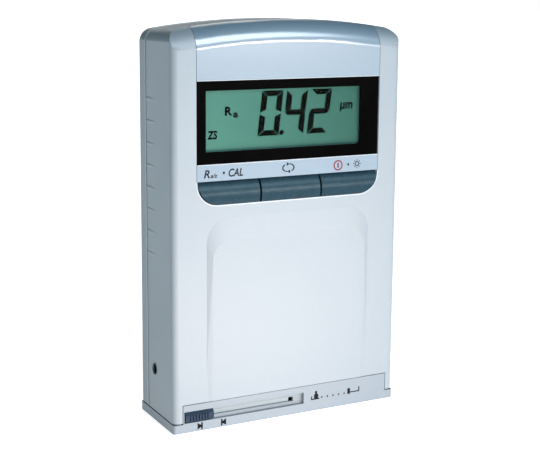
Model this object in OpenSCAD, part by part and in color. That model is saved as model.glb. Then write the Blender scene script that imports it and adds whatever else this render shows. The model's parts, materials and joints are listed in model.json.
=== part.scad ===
/* [Body] */
// Width of the case
body_w = 70; // [67:0.5:80]
// Height of the case at the top of its arch
body_h = 110; // [105:0.5:125]
// Depth from the front of the raised pad to the back
body_d = 24; // [23.5:0.5:30]
// Height of the top arch above its ends
arch_rise = 2.9; // [2:0.1:6]
// Corner radius of the case in front view
corner_r = 4; // [3.5:0.1:7]
// Rounding of the front and rear edges
edge_r = 1.8; // [1.5:0.1:3]
// Rounding of the upper front edge
brow_r = 7; // [6.8:0.1:9]
// Distance from the top of the arch to where the upper front edge starts to round
brow_drop = 6.6; // [6:0.1:6.7]
// Wall thickness of the two shells
wall = 2.2; // [2:0.1:2.6]
// Depth of the front shell, from its face to the parting plane
front_shell_d = 17.2; // [16:0.1:18]
// Width of the groove along the parting plane
seam_gap = 0.5; // [0.3:0.05:0.8]
// Depth of the grooves between the case pieces
seam_depth = 0.8; // [0.5:0.05:1.2]

/* [Base] */
// Thickness of the base plate
base_t = 2.4; // [2.2:0.1:3]
// Corner radius of the base plate
base_corner_r = 0.8; // [0.4:0.1:2]
// Height of the groove above the base plate
base_groove = 0.4; // [0.2:0.05:0.8]
// Distance from the side of the case to the strip that stands up at the front of the base
strip_inset = 2.8; // [2.5:0.1:5]
// Height of the top of the strip
strip_top = 7.6; // [7:0.1:10]
// Thickness of the strip
strip_t = 2; // [1.8:0.1:2.1]
// Gap around the strip
strip_gap = 0.2; // [0.1:0.05:0.4]

/* [Raised pad] */
// Distance from the side of the case to the raised pad on the front
pad_inset = 9.8; // [8:0.1:14]
// Height of the pad above the front face at its upper end
pad_raise = 0.8; // [0.5:0.05:1.2]
// Height of the pad above the front face at its lower end
pad_foot_raise = 0.15; // [0.1:0.05:0.4]
// Width of the sloping side walls of the pad
pad_slope = 1.5; // [0.8:0.1:3]
// Length of the ramp at the upper end of the pad
pad_ramp = 5.5; // [3:0.1:8]
// Radius of the upper corners of the pad
pad_corner_r = 7; // [5:0.1:10]
// Distance from the keys down to the pad
pad_gap = 3.9; // [3:0.1:8]

/* [Display] */
// Distance from the side of the case to the bezel that holds the window
panel_inset = 6.9; // [6:0.1:7.5]
// Thickness of the bezel
panel_skin = 1.4; // [1.3:0.05:1.6]
// Depth to which the bezel wraps over the top of the case
panel_wrap = 6.5; // [5:0.1:9]
// Distance from the top of the case to the window
window_drop = 15.7; // [14:0.1:18]
// Height of the window
window_h = 22; // [20:0.1:24]
// Thickness of the window
window_t = 0.65; // [0.5:0.05:0.8]
// Depth of the window below the bezel face
window_set = 0.35; // [0.1:0.05:0.4]
// Distance from the left side of the bezel to the viewing opening
view_left = 2.6; // [2.6:0.1:8]
// Distance from the right side of the bezel to the viewing opening
view_right = 5.6; // [2.6:0.1:8]
// Height of the viewing opening
view_h = 16; // [12:0.2:17]
// Thickness of the display glass
lcd_t = 2.4; // [1.8:0.1:2.8]
// Border of the display glass around the viewing opening
lcd_border = 1.9; // [1.2:0.1:2.2]

/* [Keys] */
// Height of the legend strip between the window and the keys
legend_h = 4.4; // [3.5:0.1:6]
// Height of the keys
key_h = 6.4; // [5:0.1:7]
// Radius of the lower outer corners of the key row
key_corner_r = 6; // [3:0.1:6.2]
// Gap between two keys
key_gap = 0.6; // [0.4:0.05:1]
// Gap between the keys and their pocket
key_clear = 0.2; // [0.15:0.05:0.4]
// Radius of the convex key face
key_bulge_r = 5.65; // [5.2:0.05:7]
// Height of the key face above the case front
key_crown = 0.67; // [0.4:0.01:0.75]
// Travel of a key
key_travel = 0.5; // [0.3:0.05:0.6]

/* [Slide] */
// Length of the trough in which the knob slides
trough_w = 36.9; // [36.5:0.1:40]
// Height of the trough
trough_h = 3.2; // [3:0.1:4]
// Depth of the trough
trough_depth = 1.2; // [0.9:0.05:1.3]
// Length of the knob
knob_w = 8.4; // [7:0.1:9]
// Gap between the knob and the trough
knob_clear = 0.2; // [0.1:0.05:0.4]
// Number of grip ribs on the knob
knob_ribs = 7; // [4:1:9]
// Travel of the knob and the shutter
slide_travel = 27; // [20:0.5:27.5]
// Thickness of the shutter
shutter_t = 0.6; // [0.5:0.05:0.7]

/* [Pickup] */
// Distance from the left side of the case to the stylus at the start of a trace
trace_start = 8.3; // [8:0.1:10]
// Tracing length
trace_len = 6; // [4:0.1:6.5]
// Distance from the stylus to the pickup hinge
pickup_arm = 24; // [23:0.1:25]
// Height to which the stylus is lifted when the shutter is closed
stylus_lift = 2.05; // [1.9:0.05:2.3]
// Width of the pickup body
pickup_w = 5.6; // [4.6:0.1:6]
// Radius of the hinge pin
hinge_r = 0.6; // [0.5:0.05:0.8]
// Radius of the skid
skid_r = 1.15; // [0.9:0.05:1.25]

/* [Drive] */
// Radius of the guide rods
rod_r = 1; // [0.8:0.05:1.2]
// Distance between the guide rods
rod_pitch = 7.4; // [7.2:0.1:8]
// Height of the guide rods and the lead screw
rod_z = 13; // [12.6:0.1:16]
// Radius of the lead screw
screw_r = 1.2; // [1:0.05:1.3]
// Length of the carriage
carriage_l = 8; // [7:0.1:8.5]
// Radius of the motor and its gearbox
motor_r = 4; // [3.5:0.1:4.2]
// Length of the motor
motor_l = 10; // [8:0.1:10.5]
// Length of the gearbox
gearbox_l = 8; // [6:0.1:8.5]

/* [Power] */
// Radius of the charging socket bore
socket_bore_r = 1.25; // [1:0.05:1.8]
// Height of the charging socket
socket_z = 14.8; // [12:0.1:20]
// Distance between the board and the cells
cell_gap = 1.35; // [1.2:0.05:2.5]
// Length of a cell
cell_l = 44; // [40:0.5:45]
// Distance from the keys down to the upper cell
cell_drop = 12.3; // [12:0.1:14]

/* [Board] */
// Distance from the case front to the board
board_set = 7.8; // [7.5:0.05:8]
// Thickness of the board
board_t = 1.2; // [0.8:0.1:1.3]
// Height of the lower edge of the board
board_z = 28; // [26:0.5:30]

/* [Hidden] */
$fn = 64;

shell_silver = [0.80, 0.83, 0.88];
key_grey = [0.29, 0.32, 0.35];
metal_grey = [0.62, 0.63, 0.65];
steel_grey = [0.74, 0.75, 0.77];
cream = [0.82, 0.80, 0.74];
brass_yellow = [0.80, 0.64, 0.30];
black = [0.06, 0.06, 0.07];
lcd_green = [0.60, 0.67, 0.60];
board_green = [0.10, 0.36, 0.22];

// Cut tools reach this far past the face that they open
over = 1;
// Sliding and assembly clearances
slide_clear = 0.1;
seat_clear = 0.05;
bore_clear = 0.03;
press_clear = 0.01;

// Case planes and arch
half_w = body_w / 2;
strip_w = body_w - 2 * strip_inset;
pad_w = body_w - 2 * pad_inset;
panel_w = body_w - 2 * panel_inset;
front_y = -body_d / 2 + pad_raise;
back_y = body_d / 2;
part_y = front_y + front_shell_d;
inner_x = half_w - wall;
inner_front = front_y + wall;
inner_back = back_y - wall;
arch_r = (half_w * half_w + arch_rise * arch_rise) / (2 * arch_rise);
arch_z = body_h - arch_r;
corner_x = half_w - corner_r;
corner_z = arch_z + sqrt(pow(arch_r - corner_r, 2) - corner_x * corner_x);
corner_angle = atan2(corner_z - arch_z, corner_x);
// Amount by which one rounding stands off the next, so that they cross instead of touching
edge_ease = 0.02;
arch_spare = 4;
arch_sweep = asin(half_w / (arch_r - edge_r - over)) + arch_spare;
arch_beyond = arch_rise + 3 * over;

// Heights of the display and the keys
window_top = body_h - window_drop;
window_z = window_top - window_h;
panel_z = window_z - legend_h;
key_z = panel_z - key_h;
view_lift = 0.3;
view_w = panel_w - view_left - view_right;
view_x = (view_left - view_right) / 2;
view_z = window_z + (window_h - view_h) / 2 + view_lift;
pad_top = key_z - pad_gap;
panel_gap = 0.12;
panel_web_y = front_y + window_set + window_t;

// Display stack behind the window
lcd_y = front_y + panel_skin + slide_clear;
lcd_w = view_w + 2 * lcd_border;
lcd_spare = 0.2;
lcd_h = view_h + 2 * (lcd_border + lcd_spare);
lcd_z = view_z - lcd_border - lcd_spare;
lcd_frame_wall = 1;
contact_h = 1.6;
contact_set = 0.3;
board_y = front_y + board_set;
board_back = board_y + board_t;
backlight_z = lcd_z + contact_h + 2 * contact_set;

// Keys, plungers and switches
pocket_inset = 0.2;
pocket_w = panel_w - 2 * pocket_inset;
key_pitch = (pocket_w - 2 * key_clear + key_gap) / 3;
key_flange_y = inner_front + seat_clear;
key_flange_t = 0.8;
key_lip = 0.7;
key_mid_z = key_z + key_h / 2;
key_bulge_rise = 2.2;
key_bulge_z = key_z + key_bulge_rise;
key_stem_r = 1.4;
switch_w = 6;
switch_t = 3;
switch_spare = 0.3;
switch_y = board_y - switch_t;
plunger_r = 1.6;
plunger_play = 0.2;
plunger_y = switch_y - key_travel - plunger_play;
plunger_sink = 0.6;

// Cross recess of the screw heads, as shares of the head radius
recess_l = 1.3;
recess_w = 0.3;

// Screw posts, board posts and their screws
post_r = 2.2;
post_inset = 4.8;
post_drop = 10;
post_x = half_w - post_inset;
post_low_z = 25;
post_high_z = body_h - post_drop;
case_boss_r = 3;
case_head_r = 1.9;
case_head_t = 1.4;
case_head_set = 1.2;
case_shank_r = 1;
case_shank_reach = 7;
board_play = 0.5;
board_drop = 8;
board_half_w = post_x - post_r - board_play;
board_top = body_h - board_drop;
board_post_r = 2;
board_post_inset = 3.5;
board_post_rise = 3;
board_post_drop = 3.2;
board_post_x = board_half_w - board_post_inset;
board_post_low = board_z + board_post_rise;
board_post_high = board_top - board_post_drop;
board_screw_r = 0.8;
board_head_r = 1.7;
board_head_t = 1.1;
board_screw_reach = 4;

// Parts on the back of the board
controller_inset = 21.5;
controller_x = board_half_w - controller_inset;
controller_lift = 8;
controller_w = 12;
controller_t = 1.4;
amplifier_inset = 13.5;
amplifier_x = -board_half_w + amplifier_inset;
amplifier_lift = 10;
amplifier_w = 8;
amplifier_h = 5;
amplifier_t = 1.3;
capacitor_inset = 9.5;
capacitor_x = board_half_w - capacitor_inset;
capacitor_lift = 2;
capacitor_pitch = 6.5;
capacitor_r = 2.5;
capacitor_t = 5.4;
buzzer_inset = 11.5;
buzzer_x = -board_half_w + buzzer_inset;
buzzer_lift = 1;
buzzer_r = 6;
buzzer_t = 4;
buzzer_port_r = 1;

// Base screws run up into posts of the rear shell
base_post_r = 1.8;
base_post_inset = 5.5;
base_post_set = 3.4;
base_post_h = 11;
base_post_x = half_w - base_post_inset;
base_post_y = back_y - base_post_set;
base_post_top = base_t + base_post_h;
base_screw_r = 0.9;
base_head_r = 1.7;
base_head_t = 1;
base_screw_reach = 8;
base_head_sink = 0.2;
base_seat_z = base_head_t + base_head_sink;

// Slide: trough, slot, knob and shutter
trough_rim = 0.3;
trough_sill = 0.2;
trough_x = -strip_w / 2 + trough_rim;
trough_z = base_t + trough_sill;
trough_floor = front_y + trough_depth;
strip_back = front_y + strip_t;
knob_x = trough_x + knob_clear;
knob_h = trough_h - 2 * knob_clear;
knob_z = trough_z + knob_clear;
knob_front = -body_d / 2;
stem_w = 5;
stem_h = 1;
stem_x = knob_x + (knob_w - stem_w) / 2;
stem_drop = 0.1;
stem_z = knob_z + knob_h / 2 - stem_h / 2 - stem_drop;
stem_sink = 0.8;
slot_gap = 0.15;
rail_t = 0.8;
rail_y = strip_back + slide_clear;

// Drive chain from the back of the case to the pickup
drive_wall_t = 0.9;
drive_gap = 0.2;
carriage_gap = 0.5;
drive_back = inner_back - drive_gap;
drive_face = drive_back - drive_wall_t;
carriage_back = drive_face - carriage_gap;
rod_wall = 1;
rod_rear_y = carriage_back - rod_wall - rod_r;
rod_front_y = rod_rear_y - rod_pitch;
screw_y = (rod_rear_y + rod_front_y) / 2;
pickup_set = 6.2;
pickup_y = rod_rear_y - pickup_set;

// Pickup, written level and then lifted about its hinge
tip_x = -half_w + trace_start;
tip_low = 0.05;
hinge_x = tip_x + pickup_arm;
hinge_rise = 3.6;
hinge_z = base_t + hinge_rise;
lift_angle = asin(stylus_lift / pickup_arm);
nose_len = 10.7;
nose_w = 3.6;
nose_z = tip_low + skid_r;
nose_h = 3.2;
nose_reach = 3.9;
nose_left = tip_x - nose_reach;
body_left = tip_x + nose_len;
body_tail = 2.6;
body_rise = 1.6;
body_cover = 2.5;
body_right = hinge_x + body_tail;
body_low = nose_z + body_rise;
body_high = hinge_z + body_cover;
nose_chamfer = 1.5;
slope_l = 3;
slope_z = 2;
skid_lead = 2.6;
skid_x = tip_x - skid_lead;
stylus_slot_w = 1.4;
stylus_slot_lead = 1.2;
stylus_len = 8.2;
stylus_slot_left = tip_x - stylus_slot_lead;
stylus_axle_x = tip_x + stylus_len;
stylus_axle_r = 0.35;
stylus_rise = 1.3;
stylus_z = nose_z + stylus_rise;
stylus_rod_r = 0.3;
stylus_rod_end = 0.4;
tip_l = 0.6;
tip_point_r = 0.03;
lift_pin_r = 0.6;
lift_pin_arm = 8.3;
lift_pin_drop = 0.8;
lift_pin_sink = 1;

// Shutter channel in the base and the ramp that carries the lift pin
shutter_inset = 3.1;
shutter_x = -half_w + shutter_inset;
shutter_w = 15.4;
shutter_half_d = 4.2;
shutter_floor = 0.5;
shutter_z = shutter_floor + slide_clear;
flange_z = base_t + slide_clear;
flange_t = 0.8;
mouth_left = 0.7;
mouth_right = 1;
mouth_x = shutter_x + mouth_left;
mouth_w = shutter_w - mouth_left - mouth_right;
mouth_d = 6;
lift_pin_x = hinge_x - lift_pin_arm * cos(lift_angle) - lift_pin_drop * sin(lift_angle);
lift_pin_z = hinge_z + lift_pin_arm * sin(lift_angle) - lift_pin_drop * cos(lift_angle);
ramp_gap = 0.25;
ramp_top = lift_pin_z - lift_pin_r - ramp_gap;
ramp_fall = lift_pin_arm * sin(lift_angle) / slide_travel;
ramp_cover = 6.2;
ramp_right = lift_pin_x + trace_len + ramp_cover;

// Drive frame, carriage and gear motor
plate_t = 1.5;
carriage_left = hinge_x - carriage_l / 2;
carriage_right = hinge_x + carriage_l / 2;
ear_t = 1.4;
ear_half_l = 2.4;
ear_gap = 0.2;
carriage_front = pickup_y - pickup_w / 2 - ear_gap - ear_t;
carriage_h = 5.2;
carriage_z = rod_z - carriage_h / 2;
nut_r = 2.4;
nut_flange_r = 2.5;
nut_flange_t = 1;
plate_gap = 3.5;
motor_gap = 1.3;
left_plate_x = carriage_left - plate_gap;
motor_right = inner_x - motor_gap;
motor_left = motor_right - motor_l;
gearbox_left = motor_left - gearbox_l;
right_plate_x = gearbox_left - plate_t;
plate_drop = 2.8;
plate_rise = 3;
plate_rim = 0.9;
plate_low = rod_z - plate_drop;
plate_high = rod_z + plate_rise;
plate_front = rod_front_y - rod_r - plate_rim;
foot_d = 4;
foot_t = 1;
frame_post = 4;
frame_sill = 3;
screw_pass = 0.3;
end_play = 0.2;
frame_reach = 11;
frame_right = gearbox_left + frame_reach;
bush_r = 1.6;
journal_r = 0.75;
shaft_r = 0.9;
shaft_reach = 3;
frame_screw_r = 0.8;
frame_head_r = 1.5;
frame_head_t = 1.1;
frame_screw_reach = 1.5;
frame_hole_end = 0.2;
frame_screw_set = 2.6;
frame_screw_left = 5;
frame_screw_right = 8;
frame_screw_y = drive_back - frame_screw_set;
frame_screw_x = [left_plate_x + frame_screw_left, right_plate_x + frame_screw_right];

// Charging socket
socket_set = 4.25;
socket_y = part_y - socket_set;
socket_w = 6.4;
socket_l = 11;
socket_bore_l = 9.5;
socket_rim = 0.5;
socket_nose_r = socket_bore_r + socket_rim;
socket_nose_set = 0.4;
socket_hole_gap = 0.15;

// Battery
tray_t = 0.6;
tray_end_t = 1.2;
contact_t = 0.4;
contact_share = 0.6;
cell_space = 1.2;
cell_r = (inner_back - tray_t - seat_clear - board_back - cell_gap) / 2;
cell_pitch = 2 * cell_r + cell_space;
cell_z = key_z - cell_drop - cell_pitch;
cell_y = inner_back - tray_t - cell_r - seat_clear;
tray_half_l = cell_l / 2 + contact_t + seat_clear + tray_end_t;

// Extrude a front-view outline from one depth to another
module along_y(y0, y1) translate([0, y1, 0]) rotate([90, 0, 0]) linear_extrude(y1 - y0) children();

// Extrude a side-view outline from one side to the other
module along_x(x0, x1) translate([x0, 0, 0]) rotate([90, 0, 90]) linear_extrude(x1 - x0) children();

// Revolve a radius and depth section about a line along Y, between two angles in front view
module arc_y(from, to) rotate([-90, 0, 0]) rotate([0, 0, -to]) rotate_extrude(angle = to - from) children();

// Straight round bar along X, Y or Z
module bar_x(r, x0, x1, y, z) translate([x0, y, z]) rotate([0, 90, 0]) cylinder(r = r, h = x1 - x0);
module bar_y(r, x, y0, y1, z) translate([x, y0, z]) rotate([-90, 0, 0]) cylinder(r = r, h = y1 - y0);
module bar_z(r, x, y, z0, z1) translate([x, y, z0]) cylinder(r = r, h = z1 - z0);

// Block between two corners
module block(low, high) translate(low) cube(high - low);

// What is left outside a quarter circle in the corner of a section
module corner_waste(r, ease = 0) difference() {
    translate([0, -over]) square([r + over, r + over]);
    translate([0, r]) circle(r + ease);
}

// Half section of the case, from its middle to its side, with rounded front and rear edges
module half_section(reach, inner, y0, y1, front_r, rear_r) difference() {
    translate([inner, y0]) square([reach - inner, y1 - y0]);
    if (front_r > 0) translate([reach - front_r, y0]) corner_waste(front_r);
    if (rear_r > 0) translate([reach - rear_r, y1]) mirror([0, 1]) corner_waste(rear_r);
}

// Plan outline of the case
module plan(inset, y0, y1, front_r, rear_r) {
    half_section(half_w - inset, 0, y0, y1, front_r, rear_r);
    mirror([1, 0]) half_section(half_w - inset, 0, y0, y1, front_r, rear_r);
}

// Section of what the rounded upper front edge takes off, measured out from the middle of the arch
module brow_waste(inset) difference() {
    translate([arch_r - brow_drop, front_y - over]) square([brow_drop + arch_beyond, brow_r + over]);
    translate([arch_r - brow_drop, front_y + brow_r]) circle(brow_r - inset + edge_ease);
}

// Section of what lies beyond a rounded edge
module edge_tool(reach, beyond, ease, y0, y1, front_r, rear_r) {
    translate([reach + ease, y0 - over]) square([beyond, y1 - y0 + 2 * over]);
    if (front_r > 0) translate([reach - front_r, y0]) corner_waste(front_r, ease + edge_ease);
    if (rear_r > 0) translate([reach - rear_r, y1]) mirror([0, 1]) corner_waste(rear_r, ease + edge_ease);
}

// Case form with an arched top, set in by an even amount
module case_form(inset, y0, y1, front_r, rear_r, z0) difference() {
    translate([0, 0, z0]) linear_extrude(body_h + over - z0) plan(inset, y0, y1, front_r, rear_r);
    translate([0, 0, arch_z]) arc_y(90 - arch_sweep, 90 + arch_sweep)
        edge_tool(arch_r - inset, arch_beyond + inset, 0, y0, y1, front_r, rear_r);
    for (side = [0, 1]) mirror([side, 0, 0]) translate([corner_x, 0, corner_z]) arc_y(0, corner_angle)
        edge_tool(corner_r - inset, corner_r, edge_ease, y0, y1, front_r, rear_r);
}

// Case form with the rounded upper front edge, which follows the arch
module front_form(inset, y0, y1, front_r, z0) difference() {
    case_form(inset, y0, y1, front_r, 0, z0);
    translate([0, 0, arch_z]) arc_y(90 - arch_sweep, 90 + arch_sweep) brow_waste(inset);
}

// Outline of the key row, with rounded lower outer corners
module key_row(inset) {
    reach = pocket_w / 2 - inset;
    low = key_z + inset;
    r = key_corner_r - inset;
    difference() {
        translate([-reach, low]) square([2 * reach, panel_z - inset - low]);
        for (side = [0, 1]) mirror([side, 0]) translate([reach - r, low]) corner_waste(r);
    }
}

// Raised pad on the lower front, rising towards its upper end
module raised_pad() {
    sink = 0.3;
    rim_r = pad_corner_r + sink * pad_slope / pad_raise;
    rim_x = pad_w / 2 - pad_corner_r;
    rim_z = pad_top - pad_corner_r + sink * pad_ramp / pad_raise;
    crown_r = pad_corner_r - pad_slope;
    crown_z = pad_top - pad_ramp - crown_r;
    foot_z = strip_top - over;
    thin = 0.02;
    hull() for (side = [-1, 1]) {
        bar_y(rim_r, side * rim_x, front_y + sink - thin, front_y + sink, rim_z);
        bar_y(crown_r, side * rim_x, front_y - pad_raise, front_y - pad_raise + thin, crown_z);
        translate([side * (rim_x + rim_r) - (side + 1) / 2 * thin, front_y + sink - thin, foot_z])
            cube([thin, thin, thin]);
        translate([side * (rim_x + crown_r) - (side + 1) / 2 * thin, front_y - pad_foot_raise, foot_z])
            cube([thin, thin, thin]);
    }
}

// Front opening for the strip of the base
module strip_opening() {
    block([-strip_w / 2 - strip_gap, front_y - 2 * over, 0],
          [strip_w / 2 + strip_gap, inner_front + over, strip_top + strip_gap]);
}

module front_shell() color(shell_silver) difference() {
    union() {
        difference() {
            union() {
                front_form(0, front_y, part_y, edge_r, base_t + base_groove);
                translate([0, 0, base_t]) linear_extrude(base_groove)
                    plan(seam_depth, front_y + seam_depth, part_y, edge_r - seam_depth, 0);
                raised_pad();
            }
            front_form(wall, inner_front, part_y + over, 0, 0);
        }
        for (side = [-1, 1]) {
            for (z = [post_low_z, post_high_z]) bar_y(post_r, side * post_x, inner_front - over, part_y, z);
            for (z = [board_post_low, board_post_high])
                bar_y(board_post_r, side * board_post_x, inner_front - over / 2, board_y, z);
        }
    }
    difference() {
        block([-panel_w / 2, front_y - over, panel_z], [panel_w / 2, front_y + panel_wrap, body_h + over]);
        front_form(panel_skin, front_y + panel_skin, part_y, edge_r - panel_skin, 0);
    }
    along_y(front_y - over, inner_front + over) key_row(0);
    block([view_x - lcd_w / 2 - slide_clear, front_y, lcd_z - slide_clear],
          [view_x + lcd_w / 2 + slide_clear, inner_front + over, lcd_z + lcd_h + slide_clear]);
    strip_opening();
    bar_x(socket_nose_r + socket_hole_gap, -half_w - over, -inner_x + over, socket_y, socket_z);
    for (side = [-1, 1]) {
        for (z = [post_low_z, post_high_z])
            bar_y(case_shank_r + press_clear, side * post_x, part_y - case_shank_reach - over,
                  part_y + over, z);
        for (z = [board_post_low, board_post_high])
            bar_y(board_screw_r + press_clear, side * board_post_x, board_y - board_screw_reach - over / 2,
                  board_y + over, z);
    }
}

module rear_shell() color(shell_silver) difference() {
    union() {
        difference() {
            union() {
                case_form(0, part_y + seam_gap, back_y, 0, edge_r, base_t + base_groove);
                case_form(seam_depth, part_y, part_y + seam_gap + over, 0, 0, base_t + base_groove);
                translate([0, 0, base_t]) linear_extrude(base_groove + over)
                    plan(seam_depth, part_y, back_y - seam_depth, 0, edge_r - seam_depth);
            }
            case_form(wall, part_y - over, inner_back, 0, 0, 0);
        }
        for (side = [-1, 1]) {
            for (z = [post_low_z, post_high_z])
                bar_y(case_boss_r, side * post_x, part_y, inner_back + over / 2, z);
            intersection() {
                bar_z(base_post_r, side * base_post_x, base_post_y, base_t, base_post_top);
                block([-half_w, part_y, 0], [half_w, inner_back + over / 2, body_h]);
            }
        }
    }
    for (side = [-1, 1]) {
        for (z = [post_low_z, post_high_z]) {
            bar_y(case_shank_r + slide_clear, side * post_x, part_y - over, back_y + over, z);
            bar_y(case_head_r + slide_clear, side * post_x, back_y - case_head_set - case_head_t,
                  back_y + over, z);
        }
        bar_z(base_screw_r + press_clear, side * base_post_x, base_post_y, 0,
              base_t + base_screw_reach + over);
    }
}

// Plan outline of the base plate
module base_plan() {
    difference() {
        translate([-half_w, front_y]) square([body_w, back_y - front_y]);
        for (side = [0, 1]) mirror([side, 0]) {
            translate([half_w - base_corner_r, front_y]) corner_waste(base_corner_r);
            translate([half_w - base_corner_r, back_y]) mirror([0, 1]) corner_waste(base_corner_r);
        }
    }
}

module base_frame() color(shell_silver) difference() {
    union() {
        linear_extrude(base_t) base_plan();
        block([-strip_w / 2, front_y, base_t - over], [strip_w / 2, strip_back, strip_top]);
    }
    block([trough_x, front_y - over, trough_z], [trough_x + trough_w, trough_floor, trough_z + trough_h]);
    block([stem_x - slot_gap, front_y, stem_z - slot_gap],
          [stem_x + stem_w + slide_travel + slot_gap, strip_back + over, stem_z + stem_h + slot_gap]);
    block([shutter_x - slide_clear, pickup_y - shutter_half_d - slide_clear, shutter_floor],
          [shutter_x + shutter_w + slide_travel + slide_clear, pickup_y + shutter_half_d + slide_clear,
           base_t + over]);
    block([mouth_x, pickup_y - mouth_d / 2, -over], [mouth_x + mouth_w, pickup_y + mouth_d / 2, base_t]);
    for (side = [-1, 1]) {
        bar_z(base_screw_r + slide_clear, side * base_post_x, base_post_y, -over, base_t + over);
        bar_z(base_head_r + slide_clear, side * base_post_x, base_post_y, -over, base_seat_z);
    }
    for (x = frame_screw_x)
        bar_z(frame_screw_r + press_clear, x, frame_screw_y, base_t - frame_screw_reach - frame_hole_end,
              base_t + over);
}

module display_bezel() color(shell_silver) difference() {
    intersection() {
        front_form(0, front_y, part_y, edge_r, 0);
        block([-panel_w / 2 + panel_gap, front_y - over, panel_z + seat_clear],
              [panel_w / 2 - panel_gap, front_y + panel_wrap - panel_gap, body_h + over]);
    }
    front_form(panel_skin - seat_clear / 2, front_y + panel_skin - seat_clear / 2, part_y + over,
               edge_r - panel_skin, 0);
    block([-panel_w, front_y - over, window_z], [panel_w, panel_web_y, window_top]);
    block([view_x - view_w / 2, front_y - over, view_z],
          [view_x + view_w / 2, front_y + panel_skin + over, view_z + view_h]);
}

module display_window() color(black) {
    gap = seat_clear * 2;
    block([-panel_w / 2 + panel_gap, front_y + window_set, window_z + gap],
          [panel_w / 2 - panel_gap, panel_web_y, window_top - gap]);
}

module lcd_panel() color(lcd_green) {
    block([view_x - lcd_w / 2, lcd_y, lcd_z], [view_x + lcd_w / 2, lcd_y + lcd_t, lcd_z + lcd_h]);
}

module lcd_frame() color([0.86, 0.87, 0.86]) {
    gap = slide_clear;
    low_x = view_x - lcd_w / 2;
    high_x = view_x + lcd_w / 2;
    difference() {
        block([low_x - lcd_frame_wall, inner_front + seat_clear, lcd_z - lcd_frame_wall],
              [high_x + lcd_frame_wall, board_y, lcd_z + lcd_h + lcd_frame_wall]);
        block([low_x - gap, inner_front - over, lcd_z - gap],
              [high_x + gap, board_y + over, lcd_z + lcd_h + gap]);
    }
}

module backlight() color([0.93, 0.94, 0.90]) {
    block([view_x - lcd_w / 2, lcd_y + lcd_t, backlight_z],
          [view_x + lcd_w / 2, board_y, lcd_z + lcd_h]);
}

module contact_strip() color([0.88, 0.55, 0.60]) {
    block([view_x - view_w / 2, lcd_y + lcd_t, lcd_z + contact_set],
          [view_x + view_w / 2, board_y, lcd_z + contact_set + contact_h]);
}

// One key of the row, counted from the left
module key(index) color(key_grey) {
    low_x = -pocket_w / 2 + key_clear + index * key_pitch;
    high_x = low_x + key_pitch - key_gap;
    mid_x = (low_x + high_x) / 2;
    bulge_y = front_y - key_crown + key_bulge_r;
    intersection() {
        along_y(front_y - over, key_flange_y + key_flange_t) intersection() {
            key_row(key_clear);
            translate([low_x, 0]) square([high_x - low_x, body_h]);
        }
        bar_x(key_bulge_r, low_x - over, high_x + over, bulge_y, key_bulge_z);
    }
    block([low_x, key_flange_y, key_z - key_lip], [high_x, key_flange_y + key_flange_t, panel_z + key_lip]);
    bar_y(key_stem_r, mid_x, key_flange_y + key_flange_t / 2, plunger_y, key_mid_z);
}

// Middle of a key across the case
function key_mid_x(index) = -pocket_w / 2 + key_clear + index * key_pitch + (key_pitch - key_gap) / 2;

module key_left() key(0);
module key_middle() key(1);
module key_right() key(2);

// Moving button of a key switch
module plunger(index) color(black)
    bar_y(plunger_r, key_mid_x(index), plunger_y, switch_y + plunger_sink, key_mid_z);

module plunger_left() plunger(0);
module plunger_middle() plunger(1);
module plunger_right() plunger(2);

module key_switches() color(metal_grey) for (index = [0:2]) difference() {
    block([key_mid_x(index) - switch_w / 2, switch_y, key_mid_z - switch_w / 2],
          [key_mid_x(index) + switch_w / 2, board_y, key_mid_z + switch_w / 2]);
    bar_y(plunger_r + slide_clear, key_mid_x(index), switch_y - over,
          switch_y + plunger_sink + key_travel + switch_spare, key_mid_z);
}

module main_board() color(board_green) difference() {
    block([-board_half_w, board_y, board_z], [board_half_w, board_back, board_top]);
    for (side = [-1, 1]) for (z = [board_post_low, board_post_high])
        bar_y(board_screw_r + 2 * slide_clear, side * board_post_x, board_y - over, board_back + over, z);
}

// Part with chamfered upper edges, seated on the back of the board
module chip(x, z, w, h, t) {
    chamfer = 0.25;
    low = z - h / 2;
    high = z + h / 2;
    along_x(x - w / 2, x + w / 2) polygon([
        [board_back, low], [board_back + t - chamfer, low], [board_back + t, low + chamfer],
        [board_back + t, high - chamfer], [board_back + t - chamfer, high], [board_back, high]]);
}

module controller_chip() color(black)
    chip(controller_x, window_z + controller_lift, controller_w, controller_w, controller_t);

module amplifier_chip() color(black)
    chip(amplifier_x, window_z + amplifier_lift, amplifier_w, amplifier_h, amplifier_t);

module capacitors() color(metal_grey) for (index = [0, 1])
    bar_y(capacitor_r, capacitor_x, board_back, board_back + capacitor_t,
          key_z + capacitor_lift + index * capacitor_pitch);

module buzzer() color(black) difference() {
    bar_y(buzzer_r, buzzer_x, board_back, board_back + buzzer_t, key_mid_z + buzzer_lift);
    bar_y(buzzer_port_r, buzzer_x, board_back + buzzer_t - over, board_back + buzzer_t + over,
          key_mid_z + buzzer_lift);
}

// Pan head screw that points towards the front, with its head seat at a given depth
module pan_screw_y(r, reach, head_r, head_t, x, seat_y, z) {
    bar_y(r, x, seat_y - reach, seat_y, z);
    difference() {
        bar_y(head_r, x, seat_y, seat_y + head_t, z);
        for (turn = [0, 90]) translate([x, seat_y + head_t, z]) rotate([0, turn, 0])
            cube([head_r * recess_l, head_t, head_r * recess_w], center = true);
    }
}

// Pan head screw along Z, with its head above or below its seat
module pan_screw_z(r, reach, head_r, head_t, x, y, seat_z, up) {
    translate([x, y, seat_z]) mirror([0, 0, up ? 0 : 1]) {
        bar_z(r, 0, 0, -reach, 0);
        difference() {
            bar_z(head_r, 0, 0, 0, head_t);
            for (turn = [0, 90]) translate([0, 0, head_t]) rotate([0, 0, turn])
                cube([head_r * recess_l, head_r * recess_w, head_t], center = true);
        }
    }
}

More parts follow.
